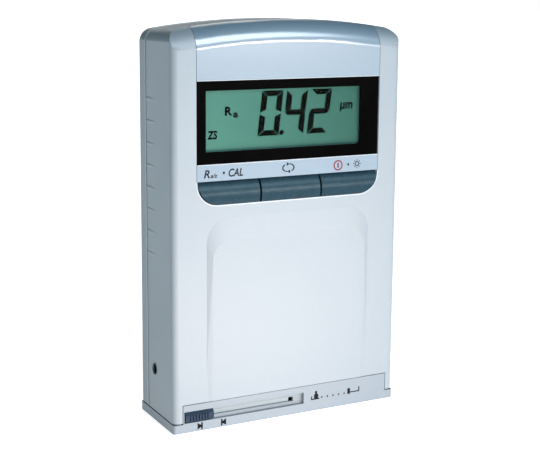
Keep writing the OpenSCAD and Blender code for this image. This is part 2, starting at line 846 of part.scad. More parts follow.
module board_screws() color(steel_grey) for (side = [-1, 1]) for (z = [board_post_low, board_post_high])
    pan_screw_y(board_screw_r, board_t + board_screw_reach, board_head_r, board_head_t, side * board_post_x,
                board_back, z);

module case_screws() color(steel_grey) for (side = [-1, 1]) for (z = [post_low_z, post_high_z]) {
    seat = back_y - case_head_set - case_head_t;
    pan_screw_y(case_shank_r, seat - part_y + case_shank_reach, case_head_r, case_head_t,
                side * post_x, seat, z);
}

module base_screws() color(steel_grey) for (side = [-1, 1])
    pan_screw_z(base_screw_r, base_screw_reach + base_t - base_seat_z, base_head_r, base_head_t,
                side * base_post_x, base_post_y, base_seat_z, false);

// Cell tray on the rear shell: a back plate with end walls and a low lip above and below
module battery_tray() color(black) {
    lip_t = 0.8;
    lip_gap = 0.2;
    end_set = 0.4;
    low_z = cell_z - cell_r - lip_gap - lip_t;
    high_z = cell_z + cell_pitch + cell_r + lip_gap + lip_t;
    end_front = cell_y - cell_r + end_set;
    along_x(-tray_half_l, tray_half_l) {
        translate([inner_back - tray_t, low_z]) square([tray_t, high_z - low_z]);
        translate([cell_y, low_z]) square([inner_back - cell_y, lip_t]);
        translate([cell_y, high_z - lip_t]) square([inner_back - cell_y, lip_t]);
    }
    for (side = [0, 1]) mirror([side, 0, 0])
        block([tray_half_l - tray_end_t, end_front, low_z], [tray_half_l, inner_back, high_z]);
}

module battery_cells() color([0.25, 0.42, 0.66]) for (index = [0, 1]) {
    z = cell_z + index * cell_pitch;
    nub_l = 1;
    nub_share = 0.4;
    bar_x(cell_r, -cell_l / 2, cell_l / 2 - nub_l, cell_y, z);
    bar_x(cell_r * nub_share, cell_l / 2 - nub_l, cell_l / 2, cell_y, z);
}

module battery_contacts() color(steel_grey) for (side = [0, 1]) mirror([side, 0, 0]) for (index = [0, 1]) {
    z = cell_z + index * cell_pitch;
    low_x = cell_l / 2 + seat_clear / 2;
    half = cell_r * contact_share;
    block([low_x, cell_y - half, z - half], [low_x + contact_t, cell_y + half, z + half]);
}

module charging_socket() color(black) difference() {
    union() {
        block([-inner_x, socket_y - socket_w / 2, socket_z - socket_w / 2],
              [-inner_x + socket_l, socket_y + socket_w / 2, socket_z + socket_w / 2]);
        bar_x(socket_nose_r, -half_w + socket_nose_set, -inner_x + over, socket_y, socket_z);
    }
    bar_x(socket_bore_r, -half_w - over, -half_w + socket_nose_set + socket_bore_l, socket_y, socket_z);
}

// Convex knob with grip ribs and a socket for the stem of the shutter
module slide_knob() color(key_grey) {
    rib_h = 0.35;
    smooth_w = 1.2;
    rib_pitch = (knob_w - 2 * smooth_w) / knob_ribs;
    rib_w = rib_pitch / 2;
    rib_x = knob_x + smooth_w + (rib_pitch - rib_w) / 2;
    chamfer = 0.7;
    low_chamfer = 0.42;
    low_y = knob_front + rib_h;
    back = trough_floor - slide_clear;
    difference() {
        union() {
            along_x(knob_x, knob_x + knob_w) polygon([
                [back, knob_z], [low_y + chamfer, knob_z], [low_y, knob_z + low_chamfer],
                [low_y, knob_z + knob_h - chamfer], [low_y + chamfer, knob_z + knob_h],
                [back, knob_z + knob_h]]);
            for (index = [0:knob_ribs - 1])
                translate([rib_x + index * rib_pitch, 0, 0])
                    block([0, knob_front, knob_z + low_chamfer],
                          [rib_w, low_y + rib_h, knob_z + knob_h - chamfer]);
        }
        block([stem_x - seat_clear, back - stem_sink, stem_z - seat_clear],
              [stem_x + stem_w + seat_clear, back + over, stem_z + stem_h + seat_clear]);
    }
}

// Moulded slide: shutter in the base channel, flange, ramp that closes the slot, and stem to the knob
module shutter_slide() color(cream) {
    riser_t = 0.8;
    shutter_front = pickup_y - shutter_half_d;
    back = trough_floor - slide_clear;
    along_y(shutter_front, pickup_y + shutter_half_d)
        translate([shutter_x, shutter_z]) square([shutter_w, shutter_t]);
    block([shutter_x, shutter_front, shutter_z],
          [shutter_x + shutter_w, shutter_front + riser_t, flange_z + flange_t]);
    block([shutter_x, rail_y, flange_z],
          [shutter_x + shutter_w, shutter_front + riser_t, flange_z + flange_t]);
    along_y(rail_y, rail_y + rail_t) polygon([
        [shutter_x, flange_z], [ramp_right, flange_z], [ramp_right, ramp_top], [lift_pin_x, ramp_top],
        [shutter_x, ramp_top - ramp_fall * (lift_pin_x - shutter_x)]]);
    block([stem_x, back - stem_sink, stem_z], [stem_x + stem_w, rail_y + rail_t, stem_z + stem_h]);
}

// Bracket that carries the rods and the gear motor: a back wall on a foot, with two end plates
module drive_frame() color(metal_grey) difference() {
    union() {
        along_y(drive_face, drive_back) difference() {
            translate([left_plate_x, base_t]) square([frame_right - left_plate_x, plate_high - base_t]);
            translate([left_plate_x + frame_post, base_t + frame_sill])
                square([right_plate_x - left_plate_x - frame_post - plate_t,
                        plate_low - base_t - frame_sill - over]);
        }
        block([left_plate_x, drive_back - foot_d, base_t], [frame_right, drive_back, base_t + foot_t]);
        for (x = [left_plate_x, right_plate_x])
            block([x, plate_front, plate_low], [x + plate_t, drive_back, plate_high]);
    }
    for (y = [rod_front_y, rod_rear_y])
        bar_x(rod_r + press_clear, left_plate_x - over, right_plate_x + plate_t + over, y, rod_z);
    bar_x(bush_r + press_clear, left_plate_x - over, left_plate_x + plate_t + over, screw_y, rod_z);
    bar_x(screw_r + screw_pass, right_plate_x - over, right_plate_x + plate_t + over, screw_y, rod_z);
    for (x = frame_screw_x)
        bar_z(frame_screw_r + slide_clear, x, frame_screw_y, base_t - over, base_t + foot_t + over);
}

module frame_screws() color(steel_grey) for (x = frame_screw_x)
    pan_screw_z(frame_screw_r, foot_t + frame_screw_reach, frame_head_r, frame_head_t, x, frame_screw_y,
                base_t + foot_t, true);

module guide_rods() color(steel_grey) for (y = [rod_front_y, rod_rear_y])
    bar_x(rod_r, left_plate_x, right_plate_x + plate_t, y, rod_z);

module screw_bush() color(brass_yellow) difference() {
    bar_x(bush_r, left_plate_x, left_plate_x + plate_t, screw_y, rod_z);
    bar_x(journal_r + bore_clear, left_plate_x - over, left_plate_x + plate_t + over, screw_y, rod_z);
}

module lead_screw() color(steel_grey) {
    shoulder = left_plate_x + plate_t + end_play;
    bar_x(journal_r, left_plate_x, shoulder, screw_y, rod_z);
    bar_x(screw_r, shoulder, right_plate_x - end_play, screw_y, rod_z);
    bar_x(shaft_r, right_plate_x - end_play, gearbox_left + shaft_reach, screw_y, rod_z);
}

module gearbox() color(brass_yellow) difference() {
    bar_x(motor_r, gearbox_left, motor_left, screw_y, rod_z);
    bar_x(shaft_r + bore_clear, gearbox_left - over, gearbox_left + shaft_reach + end_play, screw_y, rod_z);
}

// Motor can with two flats and a rear bearing hub
module motor_can() color(steel_grey) {
    hub_l = 0.8;
    hub_share = 0.3;
    flat_share = 0.8;
    intersection() {
        bar_x(motor_r, motor_left, motor_right - hub_l, screw_y, rod_z);
        block([motor_left, screw_y - motor_r, rod_z - motor_r * flat_share],
              [motor_right, screw_y + motor_r, rod_z + motor_r * flat_share]);
    }
    bar_x(motor_r * hub_share, motor_right - hub_l, motor_right, screw_y, rod_z);
}

// Slider block with two ears for the pickup hinge
module carriage() color(cream) difference() {
    union() {
        block([carriage_left, carriage_front, carriage_z],
              [carriage_right, carriage_back, carriage_z + carriage_h]);
        for (side = [-1, 1]) {
            inner = pickup_y + side * (pickup_w / 2 + ear_gap);
            low = min(inner, inner + side * ear_t);
            along_y(low, low + ear_t) {
                translate([hinge_x - ear_half_l, hinge_z])
                    square([2 * ear_half_l, carriage_z + over - hinge_z]);
                translate([hinge_x, hinge_z]) circle(ear_half_l);
            }
        }
    }
    for (y = [rod_front_y, rod_rear_y])
        bar_x(rod_r + bore_clear, carriage_left - over, carriage_right + over, y, rod_z);
    bar_x(nut_r + press_clear, carriage_left - over, carriage_right + over, screw_y, rod_z);
    bar_y(hinge_r + press_clear, hinge_x, carriage_front - over, pickup_y + body_d, hinge_z);
}

module drive_nut() color(brass_yellow) difference() {
    union() {
        bar_x(nut_r, carriage_left, carriage_right, screw_y, rod_z);
        bar_x(nut_flange_r, carriage_right, carriage_right + nut_flange_t, screw_y, rod_z);
    }
    bar_x(screw_r + bore_clear, carriage_left - over, carriage_right + nut_flange_t + over, screw_y, rod_z);
}

module hinge_pin() color(steel_grey) {
    reach = pickup_w / 2 + ear_gap + ear_t;
    bar_y(hinge_r, hinge_x, pickup_y - reach, pickup_y + reach, hinge_z);
}

// Turn what is written level into its lifted place
module lifted() translate([hinge_x, 0, hinge_z]) rotate([0, lift_angle, 0]) translate([-hinge_x, 0, -hinge_z])
    children();

// Pickup housing: a slim nose with a slot for the stylus, and a body around the hinge
module pickup_body() color([0.72, 0.73, 0.75]) lifted() difference() {
    union() {
        along_y(pickup_y - nose_w / 2, pickup_y + nose_w / 2) polygon([
            [nose_left, nose_z], [body_left + over, nose_z], [body_left + over, nose_z + nose_h],
            [nose_left + nose_chamfer, nose_z + nose_h],
            [nose_left, nose_z + nose_h - nose_chamfer]]);
        along_y(pickup_y - pickup_w / 2, pickup_y + pickup_w / 2) polygon([
            [body_left, body_low], [body_right, body_low], [body_right, body_high],
            [body_left + slope_l, body_high], [body_left, body_low + slope_z]]);
    }
    block([stylus_slot_left, pickup_y - stylus_slot_w / 2, nose_z - over],
          [stylus_axle_x + over, pickup_y + stylus_slot_w / 2, stylus_z + over]);
    bar_y(stylus_axle_r + bore_clear, stylus_axle_x, pickup_y - nose_w, pickup_y + nose_w, stylus_z);
    bar_y(hinge_r + bore_clear, hinge_x, pickup_y - pickup_w, pickup_y + pickup_w, hinge_z);
    bar_y(lift_pin_r + press_clear, hinge_x - lift_pin_arm, pickup_y - pickup_w,
          pickup_y - pickup_w / 2 + lift_pin_sink, hinge_z - lift_pin_drop);
    translate([skid_x, pickup_y, nose_z]) sphere(skid_r + press_clear);
}

module lift_pin() color(steel_grey) lifted()
    bar_y(lift_pin_r, hinge_x - lift_pin_arm, rail_y, pickup_y - pickup_w / 2 + lift_pin_sink,
          hinge_z - lift_pin_drop);

module skid() color([0.62, 0.10, 0.16]) lifted() translate([skid_x, pickup_y, nose_z]) sphere(skid_r);

// Stylus lever on its axle
module stylus_arm() color(steel_grey) lifted() {
    bar_x(stylus_rod_r, tip_x - stylus_rod_end, stylus_axle_x, pickup_y, stylus_z);
    bar_y(stylus_axle_r, stylus_axle_x, pickup_y - nose_w / 2, pickup_y + nose_w / 2, stylus_z);
    bar_z(stylus_rod_r, tip_x, pickup_y, tip_low + tip_l, stylus_z);
}

// Diamond cone at the end of the stylus
module stylus_tip() color([0.85, 0.87, 0.90]) lifted() translate([tip_x, pickup_y, tip_low])
    cylinder(r1 = tip_point_r, r2 = stylus_rod_r, h = tip_l);

front_shell();
rear_shell();
base_frame();
display_bezel();
display_window();
lcd_panel();
lcd_frame();
backlight();
contact_strip();
key_left();
key_middle();
key_right();
plunger_left();
plunger_middle();
plunger_right();
key_switches();
main_board();
controller_chip();
amplifier_chip();
capacitors();
buzzer();
board_screws();
battery_tray();
battery_cells();
battery_contacts();
charging_socket();
case_screws();
base_screws();
slide_knob();
shutter_slide();
drive_frame();
frame_screws();
guide_rods();
screw_bush();
lead_screw();
gearbox();
motor_can();
carriage();
drive_nut();
hinge_pin();
pickup_body();
lift_pin();
skid();
stylus_arm();
stylus_tip();
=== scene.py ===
"""Pocket surface roughness tester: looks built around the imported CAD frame."""

import json
import logging
import math
from contextlib import contextmanager
from dataclasses import dataclass, field
from enum import Enum
from typing import Callable, Iterator, Sequence

import bmesh
import bpy
from mathutils import Matrix, Vector


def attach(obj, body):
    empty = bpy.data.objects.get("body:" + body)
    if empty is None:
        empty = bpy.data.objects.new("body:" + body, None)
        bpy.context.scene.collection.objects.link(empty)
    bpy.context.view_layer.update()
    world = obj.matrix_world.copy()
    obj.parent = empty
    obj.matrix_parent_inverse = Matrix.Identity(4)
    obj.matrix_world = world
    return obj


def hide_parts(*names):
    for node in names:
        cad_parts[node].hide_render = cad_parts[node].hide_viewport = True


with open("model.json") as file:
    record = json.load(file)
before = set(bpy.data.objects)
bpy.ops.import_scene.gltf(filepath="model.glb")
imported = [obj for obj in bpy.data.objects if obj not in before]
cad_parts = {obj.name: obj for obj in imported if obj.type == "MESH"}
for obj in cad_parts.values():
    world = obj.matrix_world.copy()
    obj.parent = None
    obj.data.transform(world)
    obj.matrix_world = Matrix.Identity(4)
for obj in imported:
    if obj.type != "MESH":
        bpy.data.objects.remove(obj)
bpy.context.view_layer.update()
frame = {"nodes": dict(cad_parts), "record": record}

log = logging.getLogger("tester")

MM = 0.001
MERGE = 1e-6
QUARTER = math.pi / 2

# A direction runs along an axis when its share of that axis is larger than this.
ALONG = 0.9
# Edges that turn by more degrees than these stay sharp, on pieces and on beads.
SHARP_ANGLE = 32.0
BEAD_ANGLE = 50.0
# Faces that differ by fewer degrees than this are taken as one.
FLAT_ANGLE = 0.2
# Full weight of the larger faces in the shading.
FACE_WEIGHT = 100
# Faces across a rounding, and the turn in degrees from which an edge is rounded.
ROUND_FACES = 2
ROUND_ANGLE = 40.0
# Steps along the curves of letters.
LETTER_STEPS = 6
# Sides of an arrow's head.
TRIANGLE = 3
# Prints stand this far out of their surface and are this thick, in millimetres.
PRINT_PROUD = 0.02
PRINT_DEPTH = 0.05

Colour = tuple[float, float, float]
Point = tuple[float, float, float]
Band = tuple[float, float]


class Body(Enum):
    """Moving bodies of the CAD frame that pieces ride on."""

    CASE = "case"
    KEY_LEFT = "key_left"
    KEY_MIDDLE = "key_middle"
    KEY_RIGHT = "key_right"
    SHUTTER = "shutter"


class Element(Enum):
    """Kinds of mesh element that are picked in edit mode."""

    CORNER = "VERT"
    EDGE = "EDGE"
    FACE = "FACE"


class Axis(Enum):
    """Axes along which the bars of a digit run."""

    X = 0
    Z = 2


class Segment(Enum):
    """Bars of a seven segment digit."""

    TOP = "a"
    UPPER_RIGHT = "b"
    LOWER_RIGHT = "c"
    BOTTOM = "d"
    LOWER_LEFT = "e"
    UPPER_LEFT = "f"
    MIDDLE = "g"


LIT: dict[str, tuple[Segment, ...]] = {
    "0": (Segment.TOP, Segment.UPPER_RIGHT, Segment.LOWER_RIGHT, Segment.BOTTOM,
          Segment.LOWER_LEFT, Segment.UPPER_LEFT),
    "4": (Segment.UPPER_LEFT, Segment.UPPER_RIGHT, Segment.MIDDLE, Segment.LOWER_RIGHT),
    "2": (Segment.TOP, Segment.UPPER_RIGHT, Segment.MIDDLE, Segment.LOWER_LEFT, Segment.BOTTOM),
}


@dataclass(frozen=True)
class Letters:
    """Printed letters: their lower left corner, size over all and style, in millimetres."""

    name: str
    words: str
    x: float
    z: float
    width: float
    height: float
    slant: float
    bold: float


# Mesh tools


def deselect() -> None:
    """Leave edit mode and deselect every object."""
    if bpy.context.mode != "OBJECT":
        bpy.ops.object.mode_set(mode="OBJECT")
    bpy.ops.object.select_all(action="DESELECT")


def take(obj: bpy.types.Object) -> None:
    """Select one object alone and make it active.

    Args:
        obj: The object to select.
    """
    deselect()
    obj.select_set(True)
    bpy.context.view_layer.objects.active = obj


@contextmanager
def editing(obj: bpy.types.Object) -> Iterator[None]:
    """Edit mode on one object, with everything selected at the start.

    Args:
        obj: The object to edit.

    Yields:
        Nothing, while the object is in edit mode.
    """
    take(obj)
    bpy.ops.object.mode_set(mode="EDIT")
    bpy.ops.mesh.select_all(action="SELECT")
    yield
    bpy.ops.object.mode_set(mode="OBJECT")


def pick(obj: bpy.types.Object, kind: Element, test: Callable[[Vector, Vector], bool]) -> None:
    """Select the elements of the edited mesh that pass a test, and no others.

    Args:
        obj: The object in edit mode.
        kind: The kind of element.
        test: Called with an element's middle in millimetres and its direction, which is an
            edge's own, or the normal of a face or vertex.
    """
    bpy.ops.mesh.select_mode(type=kind.value)
    bpy.ops.mesh.select_all(action="DESELECT")
    mesh = bmesh.from_edit_mesh(obj.data)
    if kind is Element.CORNER:
        found = [v for v in mesh.verts if test(v.co / MM, v.normal)]
    elif kind is Element.EDGE:
        ends = [(e, e.verts[0].co, e.verts[1].co) for e in mesh.edges]
        found = [e for e, a, b in ends if test((a + b) / 2 / MM, (b - a).normalized())]
    else:
        found = [f for f in mesh.faces if test(f.calc_center_median() / MM, f.normal)]
    for element in found:
        element.select_set(True)
    bmesh.update_edit_mesh(obj.data)


def settle(obj: bpy.types.Object) -> None:
    """Move an object's place, turn and size into its mesh.

    Args:
        obj: The object to settle.
    """
    take(obj)
    bpy.ops.object.transform_apply(location=True, rotation=True, scale=True)


def named(name: str) -> bpy.types.Object:
    """Name the active object and its data.

    Args:
        name: The piece's name.

    Returns:
        The active object.
    """
    obj = bpy.context.object
    obj.name = name
    obj.data.name = name
    return obj


def apply_modifiers(obj: bpy.types.Object) -> None:
    """Apply every modifier of an object in order.

    Args:
        obj: The object whose modifiers are applied.
    """
    take(obj)
    for modifier in list(obj.modifiers):
        bpy.ops.object.modifier_apply(modifier=modifier.name)


def smooth(obj: bpy.types.Object, angle: float = SHARP_ANGLE) -> None:
    """Shade an object smooth up to an angle, with normals that follow its larger faces.

    Args:
        obj: The object to shade.
        angle: Edges that turn by more than this many degrees stay sharp.
    """
    take(obj)
    bpy.ops.object.shade_smooth_by_angle(angle=math.radians(angle))
    weighted = obj.modifiers.new("weighted", "WEIGHTED_NORMAL")
    weighted.keep_sharp = True
    weighted.weight = FACE_WEIGHT
    apply_modifiers(obj)


def soften(obj: bpy.types.Object, width: float) -> None:
    """Round an object's sharp edges with a bevel modifier.

    Args:
        obj: The object to soften.
        width: Width of the rounding in millimetres.
    """
    bevel = obj.modifiers.new("soft_edges", "BEVEL")
    bevel.width = width * MM
    bevel.segments = ROUND_FACES
    bevel.limit_method = "ANGLE"
    bevel.angle_limit = math.radians(ROUND_ANGLE)
    apply_modifiers(obj)


def block(name: str, low: Point, high: Point, bevel: float = 0.0) -> bpy.types.Object:
    """Block between two corners, with its edges rounded.

    Args:
        name: The piece's name.
        low: Lowest corner in millimetres.
        high: Highest corner in millimetres.
        bevel: Rounding of all edges in millimetres.

    Returns:
        The new object.
    """
    deselect()
    a, b = Vector(low) * MM, Vector(high) * MM
    bpy.ops.mesh.primitive_cube_add(size=1.0, location=(a + b) / 2, scale=b - a)
    obj = named(name)
    settle(obj)
    if bevel > 0:
        with editing(obj):
            bpy.ops.mesh.bevel(offset=bevel * MM, segments=ROUND_FACES, affect="EDGES")
    return obj


def pointed_bar(name: str, low: Point, high: Point, point: float) -> bpy.types.Object:
    """Flat bar whose corners are cut off in front view.

    Args:
        name: The piece's name.
        low: Lowest corner in millimetres.
        high: Highest corner in millimetres.
        point: How much of each corner is cut off, in millimetres.

    Returns:
        The new object.
    """
    obj = block(name, low, high)
    with editing(obj):
        pick(obj, Element.EDGE, lambda _, way: abs(way.y) > ALONG)
        bpy.ops.mesh.bevel(offset=point * MM, segments=1, affect="EDGES")
    return obj


def mitre(obj: bpy.types.Object, axis: Axis, low_cut: float, high_cut: float,
          inner: Callable[[Vector], bool]) -> None:
    """Shorten one side of a bar at both ends.

    Args:
        obj: The bar.
        axis: Axis along which the bar runs.
        low_cut: Amount taken off the low end, in millimetres.
        high_cut: Amount taken off the high end, in millimetres.
        inner: Called with a corner in millimetres, true on the side that is shortened.
    """
    along = axis.value
    ends = [v.co[along] / MM for v in obj.data.vertices]
    middle = (min(ends) + max(ends)) / 2
    with editing(obj):
        for end, cut in ((-1, low_cut), (1, high_cut)):
            move = Vector((0, 0, 0))
            move[along] = -end * cut * MM
            pick(obj, Element.CORNER, lambda at, _: inner(at) and (at[along] - middle) * end > 0)
            bpy.ops.transform.translate(value=move)


def thicken(obj: bpy.types.Object, depth: float) -> None:
    """Give a flat front-facing outline a thickness towards the back.

    Args:
        obj: The flat object.
        depth: Thickness in millimetres.
    """
    with editing(obj):
        bpy.ops.mesh.extrude_region_move(TRANSFORM_OT_translate={"value": (0, depth * MM, 0)})
        bpy.ops.mesh.select_all(action="SELECT")
        bpy.ops.mesh.normals_make_consistent(inside=False)


def flat_circle(name: str, place: Point, radius: float, sides: int,
                turn: float = 0.0) -> bpy.types.Object:
    """Flat front-facing disc or polygon.

    Args:
        name: The piece's name.
        place: Its middle, in millimetres.
        radius: Radius in millimetres.
        sides: Number of sides.
        turn: Turn in front view, in degrees.

    Returns:
        The new object.
    """
    deselect()
    bpy.ops.mesh.primitive_circle_add(
        vertices=sides, radius=radius * MM, fill_type="NGON", location=Vector(place) * MM,
        rotation=(QUARTER, math.radians(turn), 0))
    obj = named(name)
    settle(obj)
    return obj


def disc(name: str, place: Point, radius: float, sides: int, turn: float = 0.0,
         depth: float = PRINT_DEPTH) -> bpy.types.Object:
    """Front-facing disc or polygon with a small thickness.

    Args:
        name: The piece's name.
        place: Middle of its front, in millimetres.
        radius: Radius in millimetres.
        sides: Number of sides.
        turn: Turn in front view, in degrees.
        depth: Thickness in millimetres.

    Returns:
        The new object.
    """
    obj = flat_circle(name, place, radius, sides, turn)
    thicken(obj, depth)
    return obj


def ring(name: str, place: Point, outer: float, inner: float, sides: int, stretch: float = 1.0,
         keep: Callable[[Vector], bool] | None = None,
         depth: float = PRINT_DEPTH) -> bpy.types.Object:
    """Front-facing ring with a small thickness.

    Args:
        name: The piece's name.
        place: Middle of its front, in millimetres.
        outer: Outer radius in millimetres.
        inner: Inner radius in millimetres.
        sides: Number of sides.
        stretch: Widening along X.
        keep: Called with a face's middle relative to the ring's middle, true for the faces
            that stay.
        depth: Thickness in millimetres.

    Returns:
        The new object.
    """
    middle = Vector(place)
    obj = flat_circle(name, place, outer, sides)
    with editing(obj):
        bpy.ops.mesh.inset(thickness=(outer - inner) * MM)
        bpy.ops.mesh.delete(type="FACE")
        bpy.ops.mesh.select_all(action="SELECT")
        bpy.ops.transform.resize(value=(stretch, 1, 1), center_override=middle * MM)
        if keep is not None:
            pick(obj, Element.FACE, lambda at, _: not keep(at - middle))
            bpy.ops.mesh.delete(type="FACE")
    thicken(obj, depth)
    return obj


def lettering(letters: Letters, y: float, depth: float = PRINT_DEPTH) -> bpy.types.Object:
    """Front-facing letters of a given size.

    Args:
        letters: The letters.
        y: Place of their front, in millimetres.
        depth: Thickness in millimetres.

    Returns:
        The new object.
    """
    deselect()
    bpy.ops.object.text_add()
    text = bpy.context.object
    text.data.body = letters.words
    text.data.shear = letters.slant
    text.data.offset = letters.bold
    text.data.resolution_u = LETTER_STEPS
    bpy.ops.object.convert(target="MESH")
    obj = named(letters.name)
    with editing(obj):
        bpy.ops.mesh.remove_doubles(threshold=MERGE)
    corners = [v.co.copy() for v in obj.data.vertices]
    low = Vector((min(c.x for c in corners), min(c.y for c in corners), 0))
    high = Vector((max(c.x for c in corners), max(c.y for c in corners), 0))
    obj.data.transform(Matrix.Translation(-low))
    obj.scale = (letters.width * MM / (high.x - low.x), letters.height * MM / (high.y - low.y), 1)
    obj.rotation_euler = (QUARTER, 0, 0)
    obj.location = Vector((letters.x, y, letters.z)) * MM
    settle(obj)
    thicken(obj, depth)
    return obj


def join(name: str, parts: Sequence[bpy.types.Object]) -> bpy.types.Object:
    """Join objects into one piece.

    Args:
        name: The piece's name.
        parts: The objects to join.

    Returns:
        The joined object.
    """
    take(parts[0])
    for part in parts[1:]:
        part.select_set(True)
    bpy.ops.object.join()
    return named(name)


def twin(obj: bpy.types.Object, shift: Point) -> bpy.types.Object:
    """Copy of an object with its own mesh, moved aside.

    Args:
        obj: The object to copy.
        shift: Move in millimetres.

    Returns:
        The copy.
    """
    take(obj)
    bpy.ops.object.duplicate(linked=False)
    copy = bpy.context.object
    copy.location = Vector(shift) * MM
    settle(copy)
    return copy


def mirrored(obj: bpy.types.Object, name: str) -> bpy.types.Object:
    """Copy of an object on the other side of the case.

    Args:
        obj: The object to copy.
        name: The copy's name.

    Returns:
        The copy.
    """
    take(obj)
    bpy.ops.object.duplicate(linked=False)
    copy = named(name)
    copy.scale = (-1, 1, 1)
    settle(copy)
    with editing(copy):
        bpy.ops.mesh.normals_make_consistent(inside=False)
    return copy


def smooth_copy(node: str, name: str, angle: float = SHARP_ANGLE,
                crease: Callable[[Vector, Vector], bool] | None = None) -> bpy.types.Object:
    """Copy of a CAD node that is merged, shaded smooth and shown in place of it.

    Args:
        node: The CAD node's name.
        name: The piece's name.
        angle: Edges that turn by more than this many degrees stay sharp.
        crease: Called with an edge's middle in millimetres and its direction, true for edges
            that stay sharp too.

    Returns:
        The copy.
    """
    copy = bpy.data.objects.new(name, frame["nodes"][node].data.copy())
    copy.data.name = name
    bpy.context.scene.collection.objects.link(copy)
    take(copy)
    bpy.ops.mesh.customdata_custom_splitnormals_clear()
    with editing(copy):
        bpy.ops.mesh.remove_doubles(threshold=MERGE)
        bpy.ops.mesh.dissolve_limited(angle_limit=math.radians(FLAT_ANGLE))
        if crease is not None:
            pick(copy, Element.EDGE, crease)
            bpy.ops.mesh.mark_sharp()
    smooth(copy, angle)
    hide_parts(node)
    return copy


def tube(name: str, radius: float, outline: bpy.types.Object) -> bpy.types.Object:
    """Round bead along an object's edges.

    Args:
        name: The piece's name.
        radius: Radius of the bead in millimetres.
        outline: Object of edges alone, which becomes the bead.

    Returns:
        The bead.
    """
    take(outline)
    bpy.ops.object.convert(target="CURVE")
    curve = bpy.context.object.data
    curve.bevel_depth = radius * MM
    curve.bevel_resolution = ROUND_FACES
    curve.use_fill_caps = True
    bpy.ops.object.convert(target="MESH")
    obj = named(name)
    with editing(obj):
        bpy.ops.mesh.remove_doubles(threshold=MERGE)
        bpy.ops.mesh.normals_make_consistent(inside=False)
    smooth(obj, BEAD_ANGLE)
    return obj


# Finishes

# Values between which most of a noise lies.
NOISE_BAND: Band = (0.3, 0.7)


class NodeSheet:
    """Node tree of one material, with its shader and output in place."""

    def __init__(self, name: str) -> None:
        """Start a material.

        Args:
            name: The material's name.
        """
        self.material = bpy.data.materials.new(name)
        self.material.use_nodes = True
        self.tree = self.material.node_tree
        self.tree.nodes.clear()
        self.shader = self.add("ShaderNodeBsdfPrincipled")
        output = self.add("ShaderNodeOutputMaterial")
        self.link(self.shader.outputs["BSDF"], output.inputs["Surface"])
        self.place = self.add("ShaderNodeTexCoord").outputs["Object"]

    def add(self, kind: str, **values: float | tuple[float, ...]) -> bpy.types.Node:
        """Add a node.

        Args:
            kind: The node's type.
            values: Constants, named by their sockets with _ for a space.

        Returns:
            The node.
        """
        node = self.tree.nodes.new(kind)
        for key, value in values.items():
            node.inputs[key.replace("_", " ")].default_value = value
        return node

    def link(self, source: bpy.types.NodeSocket, target: bpy.types.NodeSocket) -> None:
        """Link two sockets."""
        self.tree.links.new(source, target)

    def fix(self, **values: float | tuple[float, ...]) -> None:
        """Set the shader's constants, named by their sockets with _ for a space."""
        for key, value in values.items():
            self.shader.inputs[key.replace("_", " ")].default_value = value

    def mapped(self, **values: Point) -> bpy.types.NodeSocket:
        """Object coordinates scaled or turned about the origin.

        Args:
            values: Scale or Rotation along X, Y and Z.

        Returns:
            The new coordinates.
        """
        mapping = self.add("ShaderNodeMapping", **values)
        self.link(self.place, mapping.inputs["Vector"])
        return mapping.outputs["Vector"]

    def noise(self, scale: float, detail: float = 2.0,
              place: bpy.types.NodeSocket | None = None) -> bpy.types.NodeSocket:
        """Noise over the surface.

        Args:
            scale: Features per metre.
            detail: Levels of detail.
            place: Coordinates, or None for Object coordinates.

        Returns:
            The noise factor.
        """
        node = self.add("ShaderNodeTexNoise", Scale=scale, Detail=detail)
        self.link(place or self.place, node.inputs["Vector"])
        return node.outputs["Fac"]

    def cells(self, scale: float) -> bpy.types.NodeSocket:
        """Distance to the nearest of scattered points.

        Args:
            scale: Points per metre.

        Returns:
            The distance.
        """
        node = self.add("ShaderNodeTexVoronoi", Scale=scale)
        self.link(self.place, node.inputs["Vector"])
        return node.outputs["Distance"]

    def span(self, value: bpy.types.NodeSocket, low: float, high: float, start: float = 0.0,
             end: float = 1.0) -> bpy.types.NodeSocket:
        """Map a value to a range.

        Args:
            value: The value.
            low: Result at the start.
            high: Result at the end.
            start: Value at the start.
            end: Value at the end.

        Returns:
            The mapped value.
        """
        node = self.add("ShaderNodeMapRange", From_Min=start, From_Max=end, To_Min=low, To_Max=high)
        self.link(value, node.inputs["Value"])
        return node.outputs["Result"]

    def colour(self, value: bpy.types.NodeSocket, first: Colour, last: Colour,
               band: Band = (0.0, 1.0)) -> None:
        """Colour the surface along a value.

        Args:
            value: The value.
            first: Colour up to the start of the band.
            last: Colour from the end of the band.
            band: Values between which the colour changes.
        """
        node = self.add("ShaderNodeValToRGB")
        for element, position, tone in zip(node.color_ramp.elements, band, (first, last)):
            element.position = position
            element.color = (*tone, 1)
        self.link(value, node.inputs["Fac"])
        self.link(node.outputs["Color"], self.shader.inputs["Base Color"])

    def roughen(self, value: bpy.types.NodeSocket, gloss: Band, band: Band = (0.0, 1.0)) -> None:
        """Vary the surface's roughness along a value.

        Args:
            value: The value.
            gloss: Lowest and highest roughness.
            band: Values between which the roughness changes.
        """
        self.link(self.span(value, *gloss, *band), self.shader.inputs["Roughness"])

    def bump(self, height: bpy.types.NodeSocket, depth: float, strength: float) -> None:
        """Bump the surface.

        Args:
            height: Height from 0 to 1.
            depth: Depth of the bumps in metres.
            strength: Strength of the effect.
        """
        node = self.add("ShaderNodeBump", Strength=strength, Distance=depth)
        self.link(height, node.inputs["Height"])
        self.link(node.outputs["Normal"], self.shader.inputs["Normal"])


